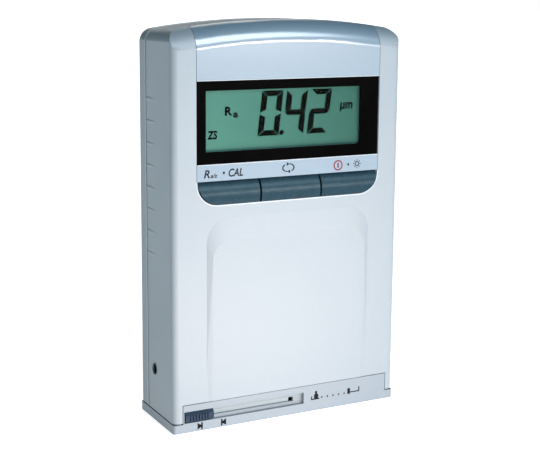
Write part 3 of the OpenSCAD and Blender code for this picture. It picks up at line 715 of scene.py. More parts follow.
@dataclass(frozen=True)
class Finish:
    """A finish, named as its material."""

    name: str

    def material(self) -> bpy.types.Material:
        """Build the finish's material.

        Returns:
            The material.
        """
        sheet = NodeSheet(self.name)
        self.dress(sheet)
        return sheet.material

    def dress(self, sheet: NodeSheet) -> None:
        """Set up the nodes, in each kind of finish's own way.

        Args:
            sheet: The material's nodes.
        """
        raise NotImplementedError(self.name)


@dataclass(frozen=True)
class Toned(Finish):
    """A finish that varies between two tones and two roughnesses."""

    light: Colour
    dark: Colour
    gloss: Band


@dataclass(frozen=True)
class Moulded(Toned):
    """Moulded or painted plastic: mottled colour, varied gloss and a fine grain."""

    grain: float = 3000.0
    grain_depth: float = 4e-6
    mottle: float = 60.0
    mottle_detail: float = 4.0
    grain_band: Band = (0.25, 0.75)
    grain_strength: float = 0.6
    specular: float = 0.5
    shine: Colour = (1.0, 1.0, 1.0)
    glow: float = 0.0

    def dress(self, sheet: NodeSheet) -> None:
        """Mottle the colour, and let one grain vary the gloss and the surface.

        Args:
            sheet: The material's nodes.
        """
        sheet.fix(Specular_IOR_Level=self.specular, Specular_Tint=(*self.shine, 1.0),
                  Emission_Color=(1.0, 1.0, 1.0, 1.0), Emission_Strength=self.glow)
        mottle = sheet.noise(self.mottle, self.mottle_detail)
        sheet.colour(mottle, self.dark, self.light, NOISE_BAND)
        grain = sheet.noise(self.grain)
        sheet.roughen(grain, self.gloss, self.grain_band)
        sheet.bump(grain, self.grain_depth, self.grain_strength)


@dataclass(frozen=True)
class Flaked(Toned):
    """Silver lacquer with fine metal flakes under a satin top coat."""

    flakes: float = 9000.0
    flake_band: Band = (0.1, 0.75)
    cloud: float = 90.0
    cloud_detail: float = 5.0
    peel: float = 2200.0
    peel_depth: float = 3e-6
    peel_strength: float = 0.5
    metal: float = 0.05
    coat: float = 0.68
    coat_gloss: float = 0.42
    coat_ior: float = 1.5
    specular: float = 0.1

    def dress(self, sheet: NodeSheet) -> None:
        """Scatter the flakes, cloud the gloss and give the lacquer a faint orange peel.

        Args:
            sheet: The material's nodes.
        """
        sheet.fix(Metallic=self.metal, Coat_Weight=self.coat, Coat_Roughness=self.coat_gloss,
                  Coat_IOR=self.coat_ior, Specular_IOR_Level=self.specular)
        sheet.colour(sheet.cells(self.flakes), self.light, self.dark, self.flake_band)
        sheet.roughen(sheet.noise(self.cloud, self.cloud_detail), self.gloss, NOISE_BAND)
        sheet.bump(sheet.noise(self.peel), self.peel_depth, self.peel_strength)


@dataclass(frozen=True)
class Metal(Toned):
    """Drawn, turned or brushed metal with a directional grain."""

    grain: float = 4000.0
    grain_detail: float = 3.0
    grain_stretch: Point = (0.06, 1.0, 1.0)
    grain_depth: float = 2e-6
    grain_strength: float = 0.5

    def dress(self, sheet: NodeSheet) -> None:
        """Let one stretched grain vary the colour, the gloss and the surface.

        Args:
            sheet: The material's nodes.
        """
        sheet.fix(Metallic=1.0)
        grain = sheet.noise(self.grain, self.grain_detail, sheet.mapped(Scale=self.grain_stretch))
        sheet.colour(grain, self.dark, self.light, NOISE_BAND)
        sheet.roughen(grain, self.gloss, NOISE_BAND)
        sheet.bump(grain, self.grain_depth, self.grain_strength)


@dataclass(frozen=True)
class Gem(Toned):
    """Polished stone with faint clouds inside."""

    cloud: float = 900.0
    cloud_detail: float = 3.0
    ior: float = 1.76
    coat: float = 0.5

    def dress(self, sheet: NodeSheet) -> None:
        """Let clouds vary the colour and the gloss.

        Args:
            sheet: The material's nodes.
        """
        sheet.fix(IOR=self.ior, Coat_Weight=self.coat)
        cloud = sheet.noise(self.cloud, self.cloud_detail)
        sheet.colour(cloud, self.dark, self.light, NOISE_BAND)
        sheet.roughen(cloud, self.gloss)


@dataclass(frozen=True)
class Board(Finish):
    """Circuit board: solder mask with lighter copper runs under it."""

    mask: Colour
    copper: Colour
    shade: float = 0.8
    runs: float = 260.0
    run_width: float = 0.06
    run_depth: float = 1e-5
    run_strength: float = 0.4
    cloud: float = 400.0
    gloss: Band = (0.3, 0.45)
    coat: float = 0.3

    def dress(self, sheet: NodeSheet) -> None:
        """Lay the runs between fields of mask, in relief.

        Args:
            sheet: The material's nodes.
        """
        sheet.fix(Coat_Weight=self.coat)
        fields = sheet.add("ShaderNodeTexBrick", Scale=self.runs, Mortar_Size=self.run_width,
                           Color1=(*self.mask, 1), Mortar=(*self.copper, 1),
                           Color2=(*(self.shade * c for c in self.mask), 1))
        sheet.link(sheet.mapped(Rotation=(QUARTER, 0, 0)), fields.inputs["Vector"])
        sheet.link(fields.outputs["Color"], sheet.shader.inputs["Base Color"])
        sheet.roughen(sheet.noise(self.cloud), self.gloss)
        sheet.bump(fields.outputs["Fac"], self.run_depth, self.run_strength)


@dataclass(frozen=True)
class Display(Finish):
    """Reflective liquid crystal glass, grey green, with painted light that makes it lighter towards
    its left end.
    """

    left: Colour
    right: Colour
    left_x: float
    right_x: float
    frost: float = 6000.0
    gloss: Band = (0.35, 0.5)
    specular: float = 0.05

    def dress(self, sheet: NodeSheet) -> None:
        """Paint light and shade across the glass's width, and frost it.

        Args:
            sheet: The material's nodes.
        """
        sheet.fix(Specular_IOR_Level=self.specular)
        parts = sheet.add("ShaderNodeSeparateXYZ")
        sheet.link(sheet.place, parts.inputs["Vector"])
        across = sheet.span(parts.outputs["X"], 0.0, 1.0, self.left_x * MM, self.right_x * MM)
        sheet.colour(across, self.left, self.right)
        sheet.roughen(sheet.noise(self.frost), self.gloss)


@dataclass(frozen=True)
class Lens(Finish):
    """Clear window over the display, with faint smears in its gloss."""

    tint: Colour
    cover: float
    shade: float = 0.7
    smear: float = 120.0
    smear_detail: float = 3.0
    smear_band: Band = (0.3, 0.8)
    gloss: Band = (0.04, 0.1)
    specular: float = 0.5

    def dress(self, sheet: NodeSheet) -> None:
        """Let smears vary the tint and the gloss.

        Args:
            sheet: The material's nodes.
        """
        sheet.fix(Alpha=self.cover, Specular_IOR_Level=self.specular)
        smear = sheet.noise(self.smear, self.smear_detail)
        sheet.colour(smear, self.tint, tuple(self.shade * c for c in self.tint), self.smear_band)
        sheet.roughen(smear, self.gloss)


SATIN: Band = (0.46, 0.56)
BRIGHT: Band = (0.3, 0.4)

SHELL = Flaked("shell_silver", (0.206, 0.290, 0.352), (0.181, 0.262, 0.32), SATIN)
REAR = Flaked("rear_silver", (0.174, 0.254, 0.312), (0.153, 0.230, 0.284), SATIN)
BASE = Flaked("base_silver", (0.171, 0.246, 0.305), (0.150, 0.222, 0.277), SATIN)
# Darker and bluer than the shell: partly the bezel's own paint, partly painted shade over the
# header and legend strip.
BEZEL = Flaked("bezel_silver", (0.141, 0.234, 0.320), (0.123, 0.213, 0.293), SATIN, coat=1.0,
               coat_gloss=0.2, coat_ior=1.7)
# Beads on the window's edges and round the key pocket, lighter than the shell: painted highlights.
EDGE = Flaked("edge_painted_highlight", (0.34, 0.46, 0.54), (0.31, 0.42, 0.50), BRIGHT)
# Bead on the rear shell's front edge, lighter than the rear shell: a painted highlight.
RIM_HIGHLIGHT = Flaked("seam_painted_highlight", (0.44, 0.52, 0.56), (0.40, 0.48, 0.52), BRIGHT)
WINDOW = Moulded("window_black", (0.0016, 0.0018, 0.002), (0.0006, 0.0008, 0.001), (0.10, 0.16),
                 400.0, 1e-7, specular=0.008)
LENS = Lens("window_lens", (0.02, 0.03, 0.025), 0.03)
# The glass is lighter at its left end and darker at its right: painted light and shade.
LCD = Display("lcd_glass", (0.0435, 0.160, 0.139), (0.0200, 0.086, 0.074), -25.5, 22.5)
LCD_INK = Moulded("lcd_ink", (0.0005, 0.0012, 0.0012), (0.0003, 0.0007, 0.0007), (0.4, 0.5),
                  4000.0, 1e-7, specular=0.005)
KEYS = Moulded("key_grey", (0.0105, 0.033, 0.052), (0.0068, 0.024, 0.040), (0.24, 0.36),
               2600.0, 4.2e-5, 700.0, specular=0.18, shine=(0.62, 0.85, 0.94))
KNOB = Moulded("knob_grey", (0.014, 0.034, 0.066), (0.008, 0.022, 0.045), (0.34, 0.46),
               2600.0, 8e-6, 500.0, specular=0.2)
WHITE = Moulded("white_plastic", (0.82, 0.82, 0.80), (0.74, 0.74, 0.72), (0.4, 0.5))
CREAM = Moulded("cream_plastic", (0.205, 0.31, 0.37), (0.18, 0.28, 0.335), (0.4, 0.5))
BLACK = Moulded("black_plastic", (0.018, 0.018, 0.020), (0.010, 0.010, 0.011), (0.38, 0.5),
                2200.0, 8e-6)
RUBBER = Moulded("contact_rubber", (0.70, 0.30, 0.34), (0.56, 0.22, 0.26), (0.55, 0.7))
BOARD = Board("board_green", (0.012, 0.105, 0.045), (0.10, 0.22, 0.08))
CELL = Moulded("cell_wrap", (0.05, 0.13, 0.32), (0.035, 0.10, 0.26), (0.22, 0.32), 1500.0, 3e-6)
STEEL = Metal("steel", (0.66, 0.67, 0.69), (0.50, 0.51, 0.53), (0.22, 0.36))
ALLOY = Metal("alloy", (0.58, 0.59, 0.61), (0.45, 0.46, 0.48), (0.32, 0.46))
BRASS = Metal("brass", (0.76, 0.57, 0.25), (0.60, 0.43, 0.17), (0.22, 0.36))
RUBY = Gem("ruby", (0.42, 0.02, 0.05), (0.30, 0.01, 0.03), (0.04, 0.1))
DIAMOND = Gem("diamond", (0.80, 0.83, 0.88), (0.68, 0.72, 0.78), (0.02, 0.06))
ACETAL = Moulded("nut_plastic", (0.70, 0.67, 0.58), (0.62, 0.59, 0.50), (0.38, 0.48))
INK = Moulded("print_black", (0.010, 0.012, 0.016), (0.005, 0.006, 0.008), (0.45, 0.6),
              5000.0, 1e-7, specular=0.05)
RED_INK = Moulded("print_red", (0.115, 0.004, 0.012), (0.095, 0.003, 0.009), (0.45, 0.6),
                  5000.0, 1e-7, specular=0.05)
PAPER = Moulded("floor_pale", (0.97, 0.97, 0.97), (0.955, 0.955, 0.955), (0.75, 0.85),
                300.0, 1e-6, 3.0, glow=0.85)

# Finishes of the CAD nodes, each named as its slot in the record.
BY_SLOT: dict[str, Finish] = {
    finish.name: finish for finish in (
        SHELL, WINDOW, LCD, KEYS, WHITE, BLACK, RUBBER, BOARD, CELL, STEEL, ALLOY, BRASS, RUBY,
        DIAMOND, ACETAL)
}


@dataclass
class PaintShop:
    """Keeps one material per finish and puts it on pieces."""

    made: dict[str, bpy.types.Material] = field(default_factory=dict)

    def coat(self, obj: bpy.types.Object, finish: Finish) -> None:
        """Put a finish on an object, in place of any other.

        Args:
            obj: The object.
            finish: The finish.
        """
        if finish.name not in self.made:
            self.made[finish.name] = finish.material()
        obj.data.materials.clear()
        obj.data.materials.append(self.made[finish.name])
        log.info("%s is finished in %s", obj.name, finish.name)

    def fit(self, obj: bpy.types.Object, finish: Finish, body: Body, slot: str) -> None:
        """Finish a piece and let it ride on its body.

        Args:
            obj: The piece.
            finish: The finish.
            body: The body it rides on.
            slot: The record's material slot; not used.
        """
        self.coat(obj, finish)
        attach(obj, body.value)
        log.info("piece %s on %s: %d faces", obj.name, body.value, len(obj.data.polygons))


# Sub-assemblies


@dataclass
class Case:
    """The two shells, the base and the bezel, with ribs and painted edge highlights on beads. Sizes
    in millimetres.
    """

    paint: PaintShop
    half_width: float = 35.0
    front: float = -11.2
    rib_top: float = 88.9
    rib_pitch: float = 6.0
    rib_count: int = 8
    rib_front: float = -5.2
    rib_back: float = 5.8
    rib_width: float = 1.5
    rib_proud: float = 0.13
    rib_sink: float = 0.5
    rib_fade: float = 0.1
    rib_skin: float = 0.2
    rib_round: float = 0.35
    rib_faces: int = 3
    rib_angle: float = 40.0
    header_low: float = 94.3
    legend_top: float = 72.3
    edge_reach: float = 27.9
    edge_bead: float = 0.12
    pocket_reach: float = 28.1
    pocket_low: float = 61.35
    pocket_top: float = 67.9
    pocket_corner: float = 6.1
    pocket_faces: int = 12
    pocket_bead: float = 0.22
    bead_set: float = 0.1
    bead_strip: float = 0.1
    near: float = 0.01
    pad_reach: float = 26.5
    pad_low: float = 8.5
    pad_high: float = 59.5
    pad_sink: float = 0.05
    pad_slope: float = 0.08
    seam: float = 6.5
    seam_bead: float = 0.17
    seam_near: float = 0.3
    seam_flat: float = 0.03
    seam_slope: float = 0.1
    arch_radius: float = 212.66
    arch_middle: float = -102.66
    corner_x: float = 31.0
    corner_z: float = 103.68
    corner_radius: float = 4.0

    def shells(self) -> None:
        """Show the shells, the base and the bezel as smooth copies."""
        front = smooth_copy("front_shell", "front_case", crease=self.on_pad)
        self.paint.fit(front, SHELL, Body.CASE, "shell_silver")
        for node, name, finish in (("rear_shell", "rear_case", REAR),
                                   ("base_frame", "base_tray", BASE),
                                   ("display_bezel", "bezel", BEZEL)):
            self.paint.fit(smooth_copy(node, name), finish, Body.CASE, "shell_silver")

    def on_pad(self, at: Vector, way: Vector) -> bool:
        """Say whether an edge belongs to the outline or the crown of the raised pad.

        Args:
            at: The edge's middle.
            way: The edge's direction.

        Returns:
            True on the outline and the crown.
        """
        on_front = at.y < self.front + self.pad_sink and abs(way.y) < self.pad_slope
        return on_front and abs(at.x) < self.pad_reach and self.pad_low < at.z < self.pad_high

    def grip_ribs(self) -> None:
        """Low ribs on both sides, from the parting line forwards, fading out in front."""
        side, half = -self.half_width, self.rib_width / 2
        outer = side - self.rib_proud
        rib = block("grip_ribs_left", (outer, self.rib_front, self.rib_top - half),
                    (side + self.rib_sink, self.rib_back, self.rib_top + half))
        with editing(rib):
            pick(rib, Element.CORNER, lambda at, _: at.x < outer + MERGE and at.y < 0)
            bpy.ops.transform.translate(value=((self.rib_proud + self.rib_fade) * MM, 0, 0))
            pick(rib, Element.EDGE,
                 lambda at, way: at.x < side + self.rib_skin and abs(way.y) > ALONG)
            bpy.ops.mesh.bevel(offset=self.rib_width * self.rib_round * MM,
                               segments=self.rib_faces, affect="EDGES")
        copies = [twin(rib, (0, 0, -i * self.rib_pitch)) for i in range(1, self.rib_count)]
        left = join("grip_ribs_left", [rib, *copies])
        smooth(left, self.rib_angle)
        right = mirrored(left, "grip_ribs_right")
        for obj in (left, right):
            self.paint.fit(obj, SHELL, Body.CASE, "shell_silver")

    def straight_bead(self, name: str, z: float) -> None:
        """Bead along an edge of the window, finished lighter than the shell as a painted highlight.

        Args:
            name: The piece's name.
            z: Height of the edge.
        """
        deselect()
        y = self.front + self.bead_set
        bpy.ops.mesh.primitive_plane_add(size=1.0, location=(0, y * MM, z * MM))
        obj = named(name)
        obj.scale = (2 * self.edge_reach * MM, self.bead_strip * MM, 1)
        settle(obj)
        with editing(obj):
            pick(obj, Element.EDGE, lambda at, way: abs(way.x) < ALONG or at.y > y)
            bpy.ops.mesh.delete(type="EDGE")
        self.paint.fit(tube(name, self.edge_bead, obj), EDGE, Body.CASE, "shell_silver")

    def pocket_rim(self) -> None:
        """Bead round the sides and bottom of the key pocket, finished lighter as a painted
        highlight.
        """
        deselect()
        y, z = self.front + self.bead_set, (self.pocket_low + self.pocket_top) / 2
        bpy.ops.mesh.primitive_plane_add(size=1.0, location=(0, y * MM, z * MM),
                                         rotation=(QUARTER, 0, 0))
        obj = named("pocket_rim")
        height = self.pocket_top - self.pocket_low
        obj.scale = (2 * self.pocket_reach * MM, height * MM, 1)
        settle(obj)
        top = self.pocket_top - self.near
        with editing(obj):
            pick(obj, Element.CORNER, lambda at, _: at.z < z)
            bpy.ops.mesh.bevel(offset=self.pocket_corner * MM, segments=self.pocket_faces,
                               affect="VERTICES")
            pick(obj, Element.EDGE, lambda at, way: at.z > top and abs(way.x) > ALONG)
            bpy.ops.mesh.delete(type="EDGE")
        self.paint.fit(tube("pocket_rim", self.pocket_bead, obj), EDGE, Body.CASE, "shell_silver")

    def on_seam(self, at: Vector) -> bool:
        """Say whether a point lies on the outer front edge of the rear shell.

        Args:
            at: The point.

        Returns:
            True on the edge.
        """
        x = abs(at.x)
        if abs(at.y - self.seam) > self.seam_flat:
            return False
        if at.z < self.corner_z:
            return x > self.half_width - self.seam_near
        if x > self.corner_x:
            reach = math.hypot(x - self.corner_x, at.z - self.corner_z)
            return reach > self.corner_radius - self.seam_near
        return math.hypot(x, at.z - self.arch_middle) > self.arch_radius - self.seam_near

    def seam_rim(self) -> None:
        """Bead along the rear shell's front edge, up both sides and over the arch, finished lighter
        as a painted highlight.
        """
        rim = bpy.data.objects.new("seam_rim", frame["nodes"]["rear_shell"].data.copy())
        bpy.context.scene.collection.objects.link(rim)
        with editing(rim):
            bpy.ops.mesh.remove_doubles(threshold=MERGE)
            pick(rim, Element.EDGE,
                 lambda at, way: abs(way.y) > self.seam_slope or not self.on_seam(at))
            bpy.ops.mesh.delete(type="EDGE")
        self.paint.fit(tube("seam_rim", self.seam_bead, rim), RIM_HIGHLIGHT, Body.CASE, "shell_silver")

    def build(self) -> None:
        """Build and dress all pieces of the case."""
        self.shells()
        self.grip_ribs()
        self.straight_bead("header_edge", self.header_low)
        self.straight_bead("legend_edge", self.legend_top)
        self.pocket_rim()
        self.seam_rim()


@dataclass
class Screen:
    """The black window with its clear opening, and the display's reading. Sizes in millimetres."""

    paint: PaintShop
    left: float = -27.98
    right: float = 27.98
    low: float = 72.4
    high: float = 94.2
    front: float = -10.85
    back: float = -10.2
    rim_round: float = 0.08
    view_left: float = -25.2
    view_right: float = 22.2
    view_low: float = 75.6
    view_high: float = 91.6
    near: float = 1e-3
    lens_play: float = 0.02
    lens_set: float = 0.03
    lens_round: float = 0.05
    glass: float = -9.7
    ink_depth: float = 0.04
    digit_left: float = -9.55
    digit_low: float = 79.0
    digit_width: float = 6.5
    digit_height: float = 12.1
    digit_pitch: float = 7.6
    upright: float = 1.8
    cross: float = 1.5
    cross_point: float = 0.96
    gap: float = 0.1
    split: float = 0.22
    slant: float = 0.12
    point_gap: float = 0.85
    point_radius: float = 0.7
    point_sides: int = 24
    reading: str = "042"
    marks: tuple[Letters, ...] = (
        Letters("mark_r", "R", -19.2, 84.9, 2.2, 2.35, 0.0, 0.04),
        Letters("mark_a", "a", -16.75, 84.3, 1.5, 1.35, 0.0, 0.04),
        Letters("mark_unit", "µm", 16.1, 84.7, 4.2, 2.5, 0.12, 0.035),
        Letters("mark_low", "ZS", -24.3, 78.8, 2.9, 2.3, 0.1, 0.04),
    )

    def window(self) -> None:
        """Black plate with an opening, and the clear lens in it."""
        plate = block("window_plate", (self.left, self.front, self.low),
                      (self.right, self.back, self.high))
        cuts = [((x, 0, 0), (1, 0, 0)) for x in (self.view_left, self.view_right)]
        cuts += [((0, 0, z), (0, 0, 1)) for z in (self.view_low, self.view_high)]
        with editing(plate):
            for at, way in cuts:
                bpy.ops.mesh.select_all(action="SELECT")
                bpy.ops.mesh.bisect(plane_co=Vector(at) * MM, plane_no=way)
            pick(plate, Element.FACE, lambda at, way: abs(way.y) > ALONG and self.in_view(at, 0.0))
            bpy.ops.mesh.delete(type="FACE")
            pick(plate, Element.EDGE, lambda at, _: self.on_opening(at))
            bpy.ops.mesh.bridge_edge_loops()
            bpy.ops.mesh.select_all(action="SELECT")
            bpy.ops.mesh.normals_make_consistent(inside=False)
        soften(plate, self.rim_round)
        smooth(plate)
        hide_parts("display_window")
        self.paint.fit(plate, WINDOW, Body.CASE, "window_black")
        play = self.lens_play
        lens = block("window_lens",
                     (self.view_left + play, self.front + self.lens_set, self.view_low + play),
                     (self.view_right - play, self.back, self.view_high - play), self.lens_round)
        smooth(lens)
        self.paint.fit(lens, LENS, Body.CASE, "window_black")

    def in_view(self, at: Vector, margin: float) -> bool:
        """Say whether a point lies within the opening, in front view.

        Args:
            at: The point.
            margin: How far outside it may lie.

        Returns:
            True within the opening.
        """
        return (self.view_left - margin < at.x < self.view_right + margin
                and self.view_low - margin < at.z < self.view_high + margin)

    def on_opening(self, at: Vector) -> bool:
        """Say whether a point lies on the rim of the opening.

        Args:
            at: The point.

        Returns:
            True on the rim.
        """
        sides = min(abs(at.x - self.view_left), abs(at.x - self.view_right))
        ends = min(abs(at.z - self.view_low), abs(at.z - self.view_high))
        faces = min(abs(at.y - self.front), abs(at.y - self.back))
        return self.in_view(at, self.near) and min(sides, ends) < self.near and faces < self.near

    def bar(self, segment: Segment, x: float) -> bpy.types.Object:
        """One bar of a digit, not yet slanted.

        Args:
            segment: Which bar.
            x: Left side of the digit.

        Returns:
            The bar.
        """
        low, top = self.digit_low, self.digit_low + self.digit_height
        middle, right = (low + top) / 2, x + self.digit_width
        near, far = self.upright, right - self.upright
        half = self.cross / 2
        boxes = {
            Segment.TOP: (x + self.gap, right - self.gap, top - self.cross, top),
            Segment.MIDDLE: (x + 2 * self.gap, right - 2 * self.gap, middle - half, middle + half),
            Segment.BOTTOM: (x + self.gap, right - self.gap, low, low + self.cross),
            Segment.UPPER_LEFT: (x, x + near, middle + self.split, top - self.gap),
            Segment.LOWER_LEFT: (x, x + near, low + self.gap, middle - self.split),
            Segment.UPPER_RIGHT: (far, right, middle + self.split, top - self.gap),
            Segment.LOWER_RIGHT: (far, right, low + self.gap, middle - self.split),
        }
        x0, x1, z0, z1 = boxes[segment]
        front = self.glass - PRINT_PROUD
        corners = (x0, front, z0), (x1, front + self.ink_depth, z1)
        if segment is Segment.MIDDLE:
            return pointed_bar("digit_bar", *corners, self.cross_point * half)
        bar = block("digit_bar", *corners)
        cuts = {
            Segment.TOP: (Axis.X, near, near, lambda at: at.z < top - half),
            Segment.BOTTOM: (Axis.X, near, near, lambda at: at.z > low + half),
            Segment.UPPER_LEFT: (Axis.Z, half, self.cross, lambda at: at.x > x + near / 2),
            Segment.LOWER_LEFT: (Axis.Z, self.cross, half, lambda at: at.x > x + near / 2),
            Segment.UPPER_RIGHT: (Axis.Z, half, self.cross, lambda at: at.x < right - near / 2),
            Segment.LOWER_RIGHT: (Axis.Z, self.cross, half, lambda at: at.x < right - near / 2),
        }
        mitre(bar, *cuts[segment])
        return bar

    def digits(self) -> None:
        """The reading, its point, and the small marks beside it."""
        bars = []
        for place, figure in enumerate(self.reading):
            x = self.digit_left + place * self.digit_pitch
            bars += [self.bar(segment, x) for segment in LIT[figure]]
        y, low = self.glass - PRINT_PROUD, self.digit_low
        point = (self.digit_left + self.digit_width + self.point_gap, y, low + self.point_radius)
        bars.append(disc("digit_point", point, self.point_radius, self.point_sides,
                         depth=self.ink_depth))
        reading = join("display_reading", bars)
        lean = Matrix.Identity(4)
        lean[0][2] = self.slant
        lean[0][3] = -self.slant * low * MM
        reading.data.transform(lean)
        marks = join("display_marks", [lettering(m, y, self.ink_depth) for m in self.marks])
        for obj in (reading, marks):
            self.paint.fit(obj, LCD_INK, Body.CASE, "lcd_glass")

    def build(self) -> None:
        """Build and dress the window and the reading."""
        self.window()
        self.digits()


@dataclass
class Keypad:
    """The three keys and the marks printed above them. Sizes in millimetres."""

    paint: PaintShop
    print_y: float = -11.2 - PRINT_PROUD
    cap_angle: float = 40.0
    middle: float = 70.1
    letters: tuple[Letters, ...] = (
        Letters("legend_r", "R", -26.0, 68.85, 1.75, 2.15, 0.22, 0.02),
        Letters("legend_az", "a/z", -24.1, 68.85, 2.1, 1.15, 0.22, 0.02),
        Letters("legend_cal", "CAL", -18.8, 68.85, 4.3, 2.15, 0.22, 0.02),
    )
    dots: tuple[Point, ...] = ((-20.2, 70.0, 0.34), (18.3, 69.95, 0.32))
    dot_sides: int = 20
    loop_x: float = -0.75
    loop_rise: float = 0.1
    loop_outer: float = 1.2
    loop_inner: float = 0.95
    loop_stretch: float = 1.62
    loop_sides: int = 64
    loop_gap: Band = (-0.95, 0.35)
    head_x: float = 0.25
    head_z: float = 1.02
    head_radius: float = 0.58
    sun_x: float = 21.15
    sun_drop: float = 0.1
    sun_outer: float = 0.68
    sun_inner: float = 0.45
    sun_sides: int = 28
    ray_count: int = 8
    ray_half: float = 0.11
    ray_reach: Band = (0.84, 1.25)
    ray_point: float = 0.02
    power_x: float = 15.0
    power_drop: float = 0.2
    power_outer: float = 1.45
    power_inner: float = 1.12
    power_sides: int = 40
    stroke_half: float = 0.2
    stroke_reach: Band = (-0.9, 0.5)
    stroke_point: float = 0.03

    def keys(self) -> None:
        """Show the keys as smooth copies."""
        for body in (Body.KEY_LEFT, Body.KEY_MIDDLE, Body.KEY_RIGHT):
            cap = smooth_copy(body.value, body.value + "_cap", self.cap_angle)
            self.paint.fit(cap, KEYS, body, "key_grey")

    def cycle(self) -> list[bpy.types.Object]:
        """Two bent arrows that follow each other, above the middle key.

        Returns:
            The arrows' pieces.
        """
        x, y, z = self.loop_x, self.print_y, self.middle + self.loop_rise
        start, end = self.loop_gap
        loop = ring("cycle_loop", (x, y, z), self.loop_outer, self.loop_inner, self.loop_sides,
                    self.loop_stretch, lambda at: not (start < at.x < end and at.z > 0)
                    and not (-end < at.x < -start and at.z < 0))
        heads = [disc("cycle_head", (x - way * self.head_x, y, z + way * self.head_z),
                      self.head_radius, TRIANGLE, way * 90) for way in (1, -1)]
        return [loop, *heads]

    def sun(self) -> list[bpy.types.Object]:
        """Small sun with eight rays, above the right key.

        Returns:
            The sun's pieces.
        """
        x, y, z = self.sun_x, self.print_y, self.middle - self.sun_drop
        pieces = [ring("sun_ring", (x, y, z), self.sun_outer, self.sun_inner, self.sun_sides)]
        start, end = self.ray_reach
        for turn in range(self.ray_count):
            ray = pointed_bar("sun_ray", (-self.ray_half, y, start),
                              (self.ray_half, y + PRINT_DEPTH, end), self.ray_point)
            ray.rotation_euler = (0, turn * 2 * math.pi / self.ray_count, 0)
            ray.location = Vector((x, 0, z)) * MM
            settle(ray)
            pieces.append(ray)
        return pieces

    def power(self) -> list[bpy.types.Object]:
        """Ring with a stroke in it, for switching on and off.

        Returns:
            The mark's pieces.
        """
        x, y, (low, high) = self.power_x, self.print_y, self.stroke_reach
        return [
            ring("power_ring", (x, y, self.middle - self.power_drop), self.power_outer,
                 self.power_inner, self.power_sides),
            pointed_bar("power_bar", (x - self.stroke_half, y, self.middle + low),
                        (x + self.stroke_half, y + PRINT_DEPTH, self.middle + high),
                        self.stroke_point),
        ]

    def legends(self) -> None:
        """Print the marks above the keys."""
        words = [lettering(letters, self.print_y) for letters in self.letters]
        dots = [disc("legend_dot", (x, self.print_y, z), radius, self.dot_sides)
                for x, z, radius in self.dots]
        black = join("key_legends", [*words, *self.cycle(), *self.sun(), *dots])
        self.paint.fit(black, INK, Body.CASE, "black_plastic")
        self.paint.fit(join("power_mark", self.power()), RED_INK, Body.CASE, "black_plastic")

    def build(self) -> None:
        """Build and dress the keys and their legends."""
        self.keys()
        self.legends()


@dataclass
class Slide:
    """The slide knob and the marks beside it. Sizes in millimetres."""

    paint: PaintShop
    print_y: float = -11.2 - PRINT_PROUD
    knob_angle: float = 30.0
    mark_middle: float = 1.35
    start_bar: float = -26.7
    stop_bar: float = -20.75
    bar_half: float = 0.24
    bar_rise: float = 0.95
    bar_point: float = 0.03
    arrow_gap: float = 0.8
    arrow_radius: float = 1.05
    trace: tuple[tuple[str, Band, Band, float], ...] = (
        ("arm", (7.4, 3.2), (10.1, 3.55), 0.04),
        ("arm_end", (7.4, 3.2), (7.72, 4.3), 0.04),
        ("lifted_head", (8.35, 3.5), (9.75, 4.75), 0.15),
        ("lifted_tip", (8.65, 4.6), (9.35, 5.7), 0.12),
        ("raised_arm", (20.2, 3.5), (23.5, 3.82), 0.04),
        ("raised_end", (23.15, 3.5), (23.5, 4.95), 0.04),
        ("lowered_head", (19.45, 3.15), (20.35, 4.9), 0.15),
    )
    dot_start: float = 10.9
    dot_pitch: float = 1.87
    dot_count: int = 5
    dot_height: float = 3.6
    dot_radius: float = 0.25
    dot_sides: int = 16

    def knob(self) -> None:
        """Show the knob as a smooth copy."""
        knob = smooth_copy("slide_knob", "slide_grip", self.knob_angle)
        self.paint.fit(knob, KNOB, Body.SHUTTER, "key_grey")

    def bar(self, name: str, low: Band, high: Band, point: float) -> bpy.types.Object:
        """One printed bar.

        Args:
            name: The bar's name.
            low: Its lower left corner in front view.
            high: Its upper right corner.
            point: How much of each corner is cut off.

        Returns:
            The bar.
        """
        return pointed_bar(name, (low[0], self.print_y, low[1]),
                           (high[0], self.print_y + PRINT_DEPTH, high[1]), point)

    def travel_marks(self) -> list[bpy.types.Object]:
        """Arrow and bar marks on the edge of the base, for the ends of the knob's way.

        Returns:
            The marks.
        """
        z, pieces = self.mark_middle, []
        for x, way in ((self.start_bar, -1), (self.stop_bar, 1)):
            pieces.append(self.bar("travel_bar", (x - self.bar_half, z - self.bar_rise),
                                   (x + self.bar_half, z + self.bar_rise), self.bar_point))
            pieces.append(disc("travel_arrow", (x + way * self.arrow_gap, self.print_y, z),
                               self.arrow_radius, TRIANGLE, -way * 90))
        return pieces

    def trace_marks(self) -> list[bpy.types.Object]:
        """Pictograms of the pickup at the ends of its trace, with a dotted line between them.

        Returns:
            The marks.
        """
        pieces = [self.bar(*row) for row in self.trace]
        for i in range(self.dot_count):
            place = (self.dot_start + i * self.dot_pitch, self.print_y, self.dot_height)
            pieces.append(disc("trace_dot", place, self.dot_radius, self.dot_sides))
        return pieces

    def build(self) -> None:
        """Build and dress the knob and its marks."""
        self.knob()
        marks = join("slide_marks", [*self.travel_marks(), *self.trace_marks()])
        self.paint.fit(marks, INK, Body.CASE, "black_plastic")


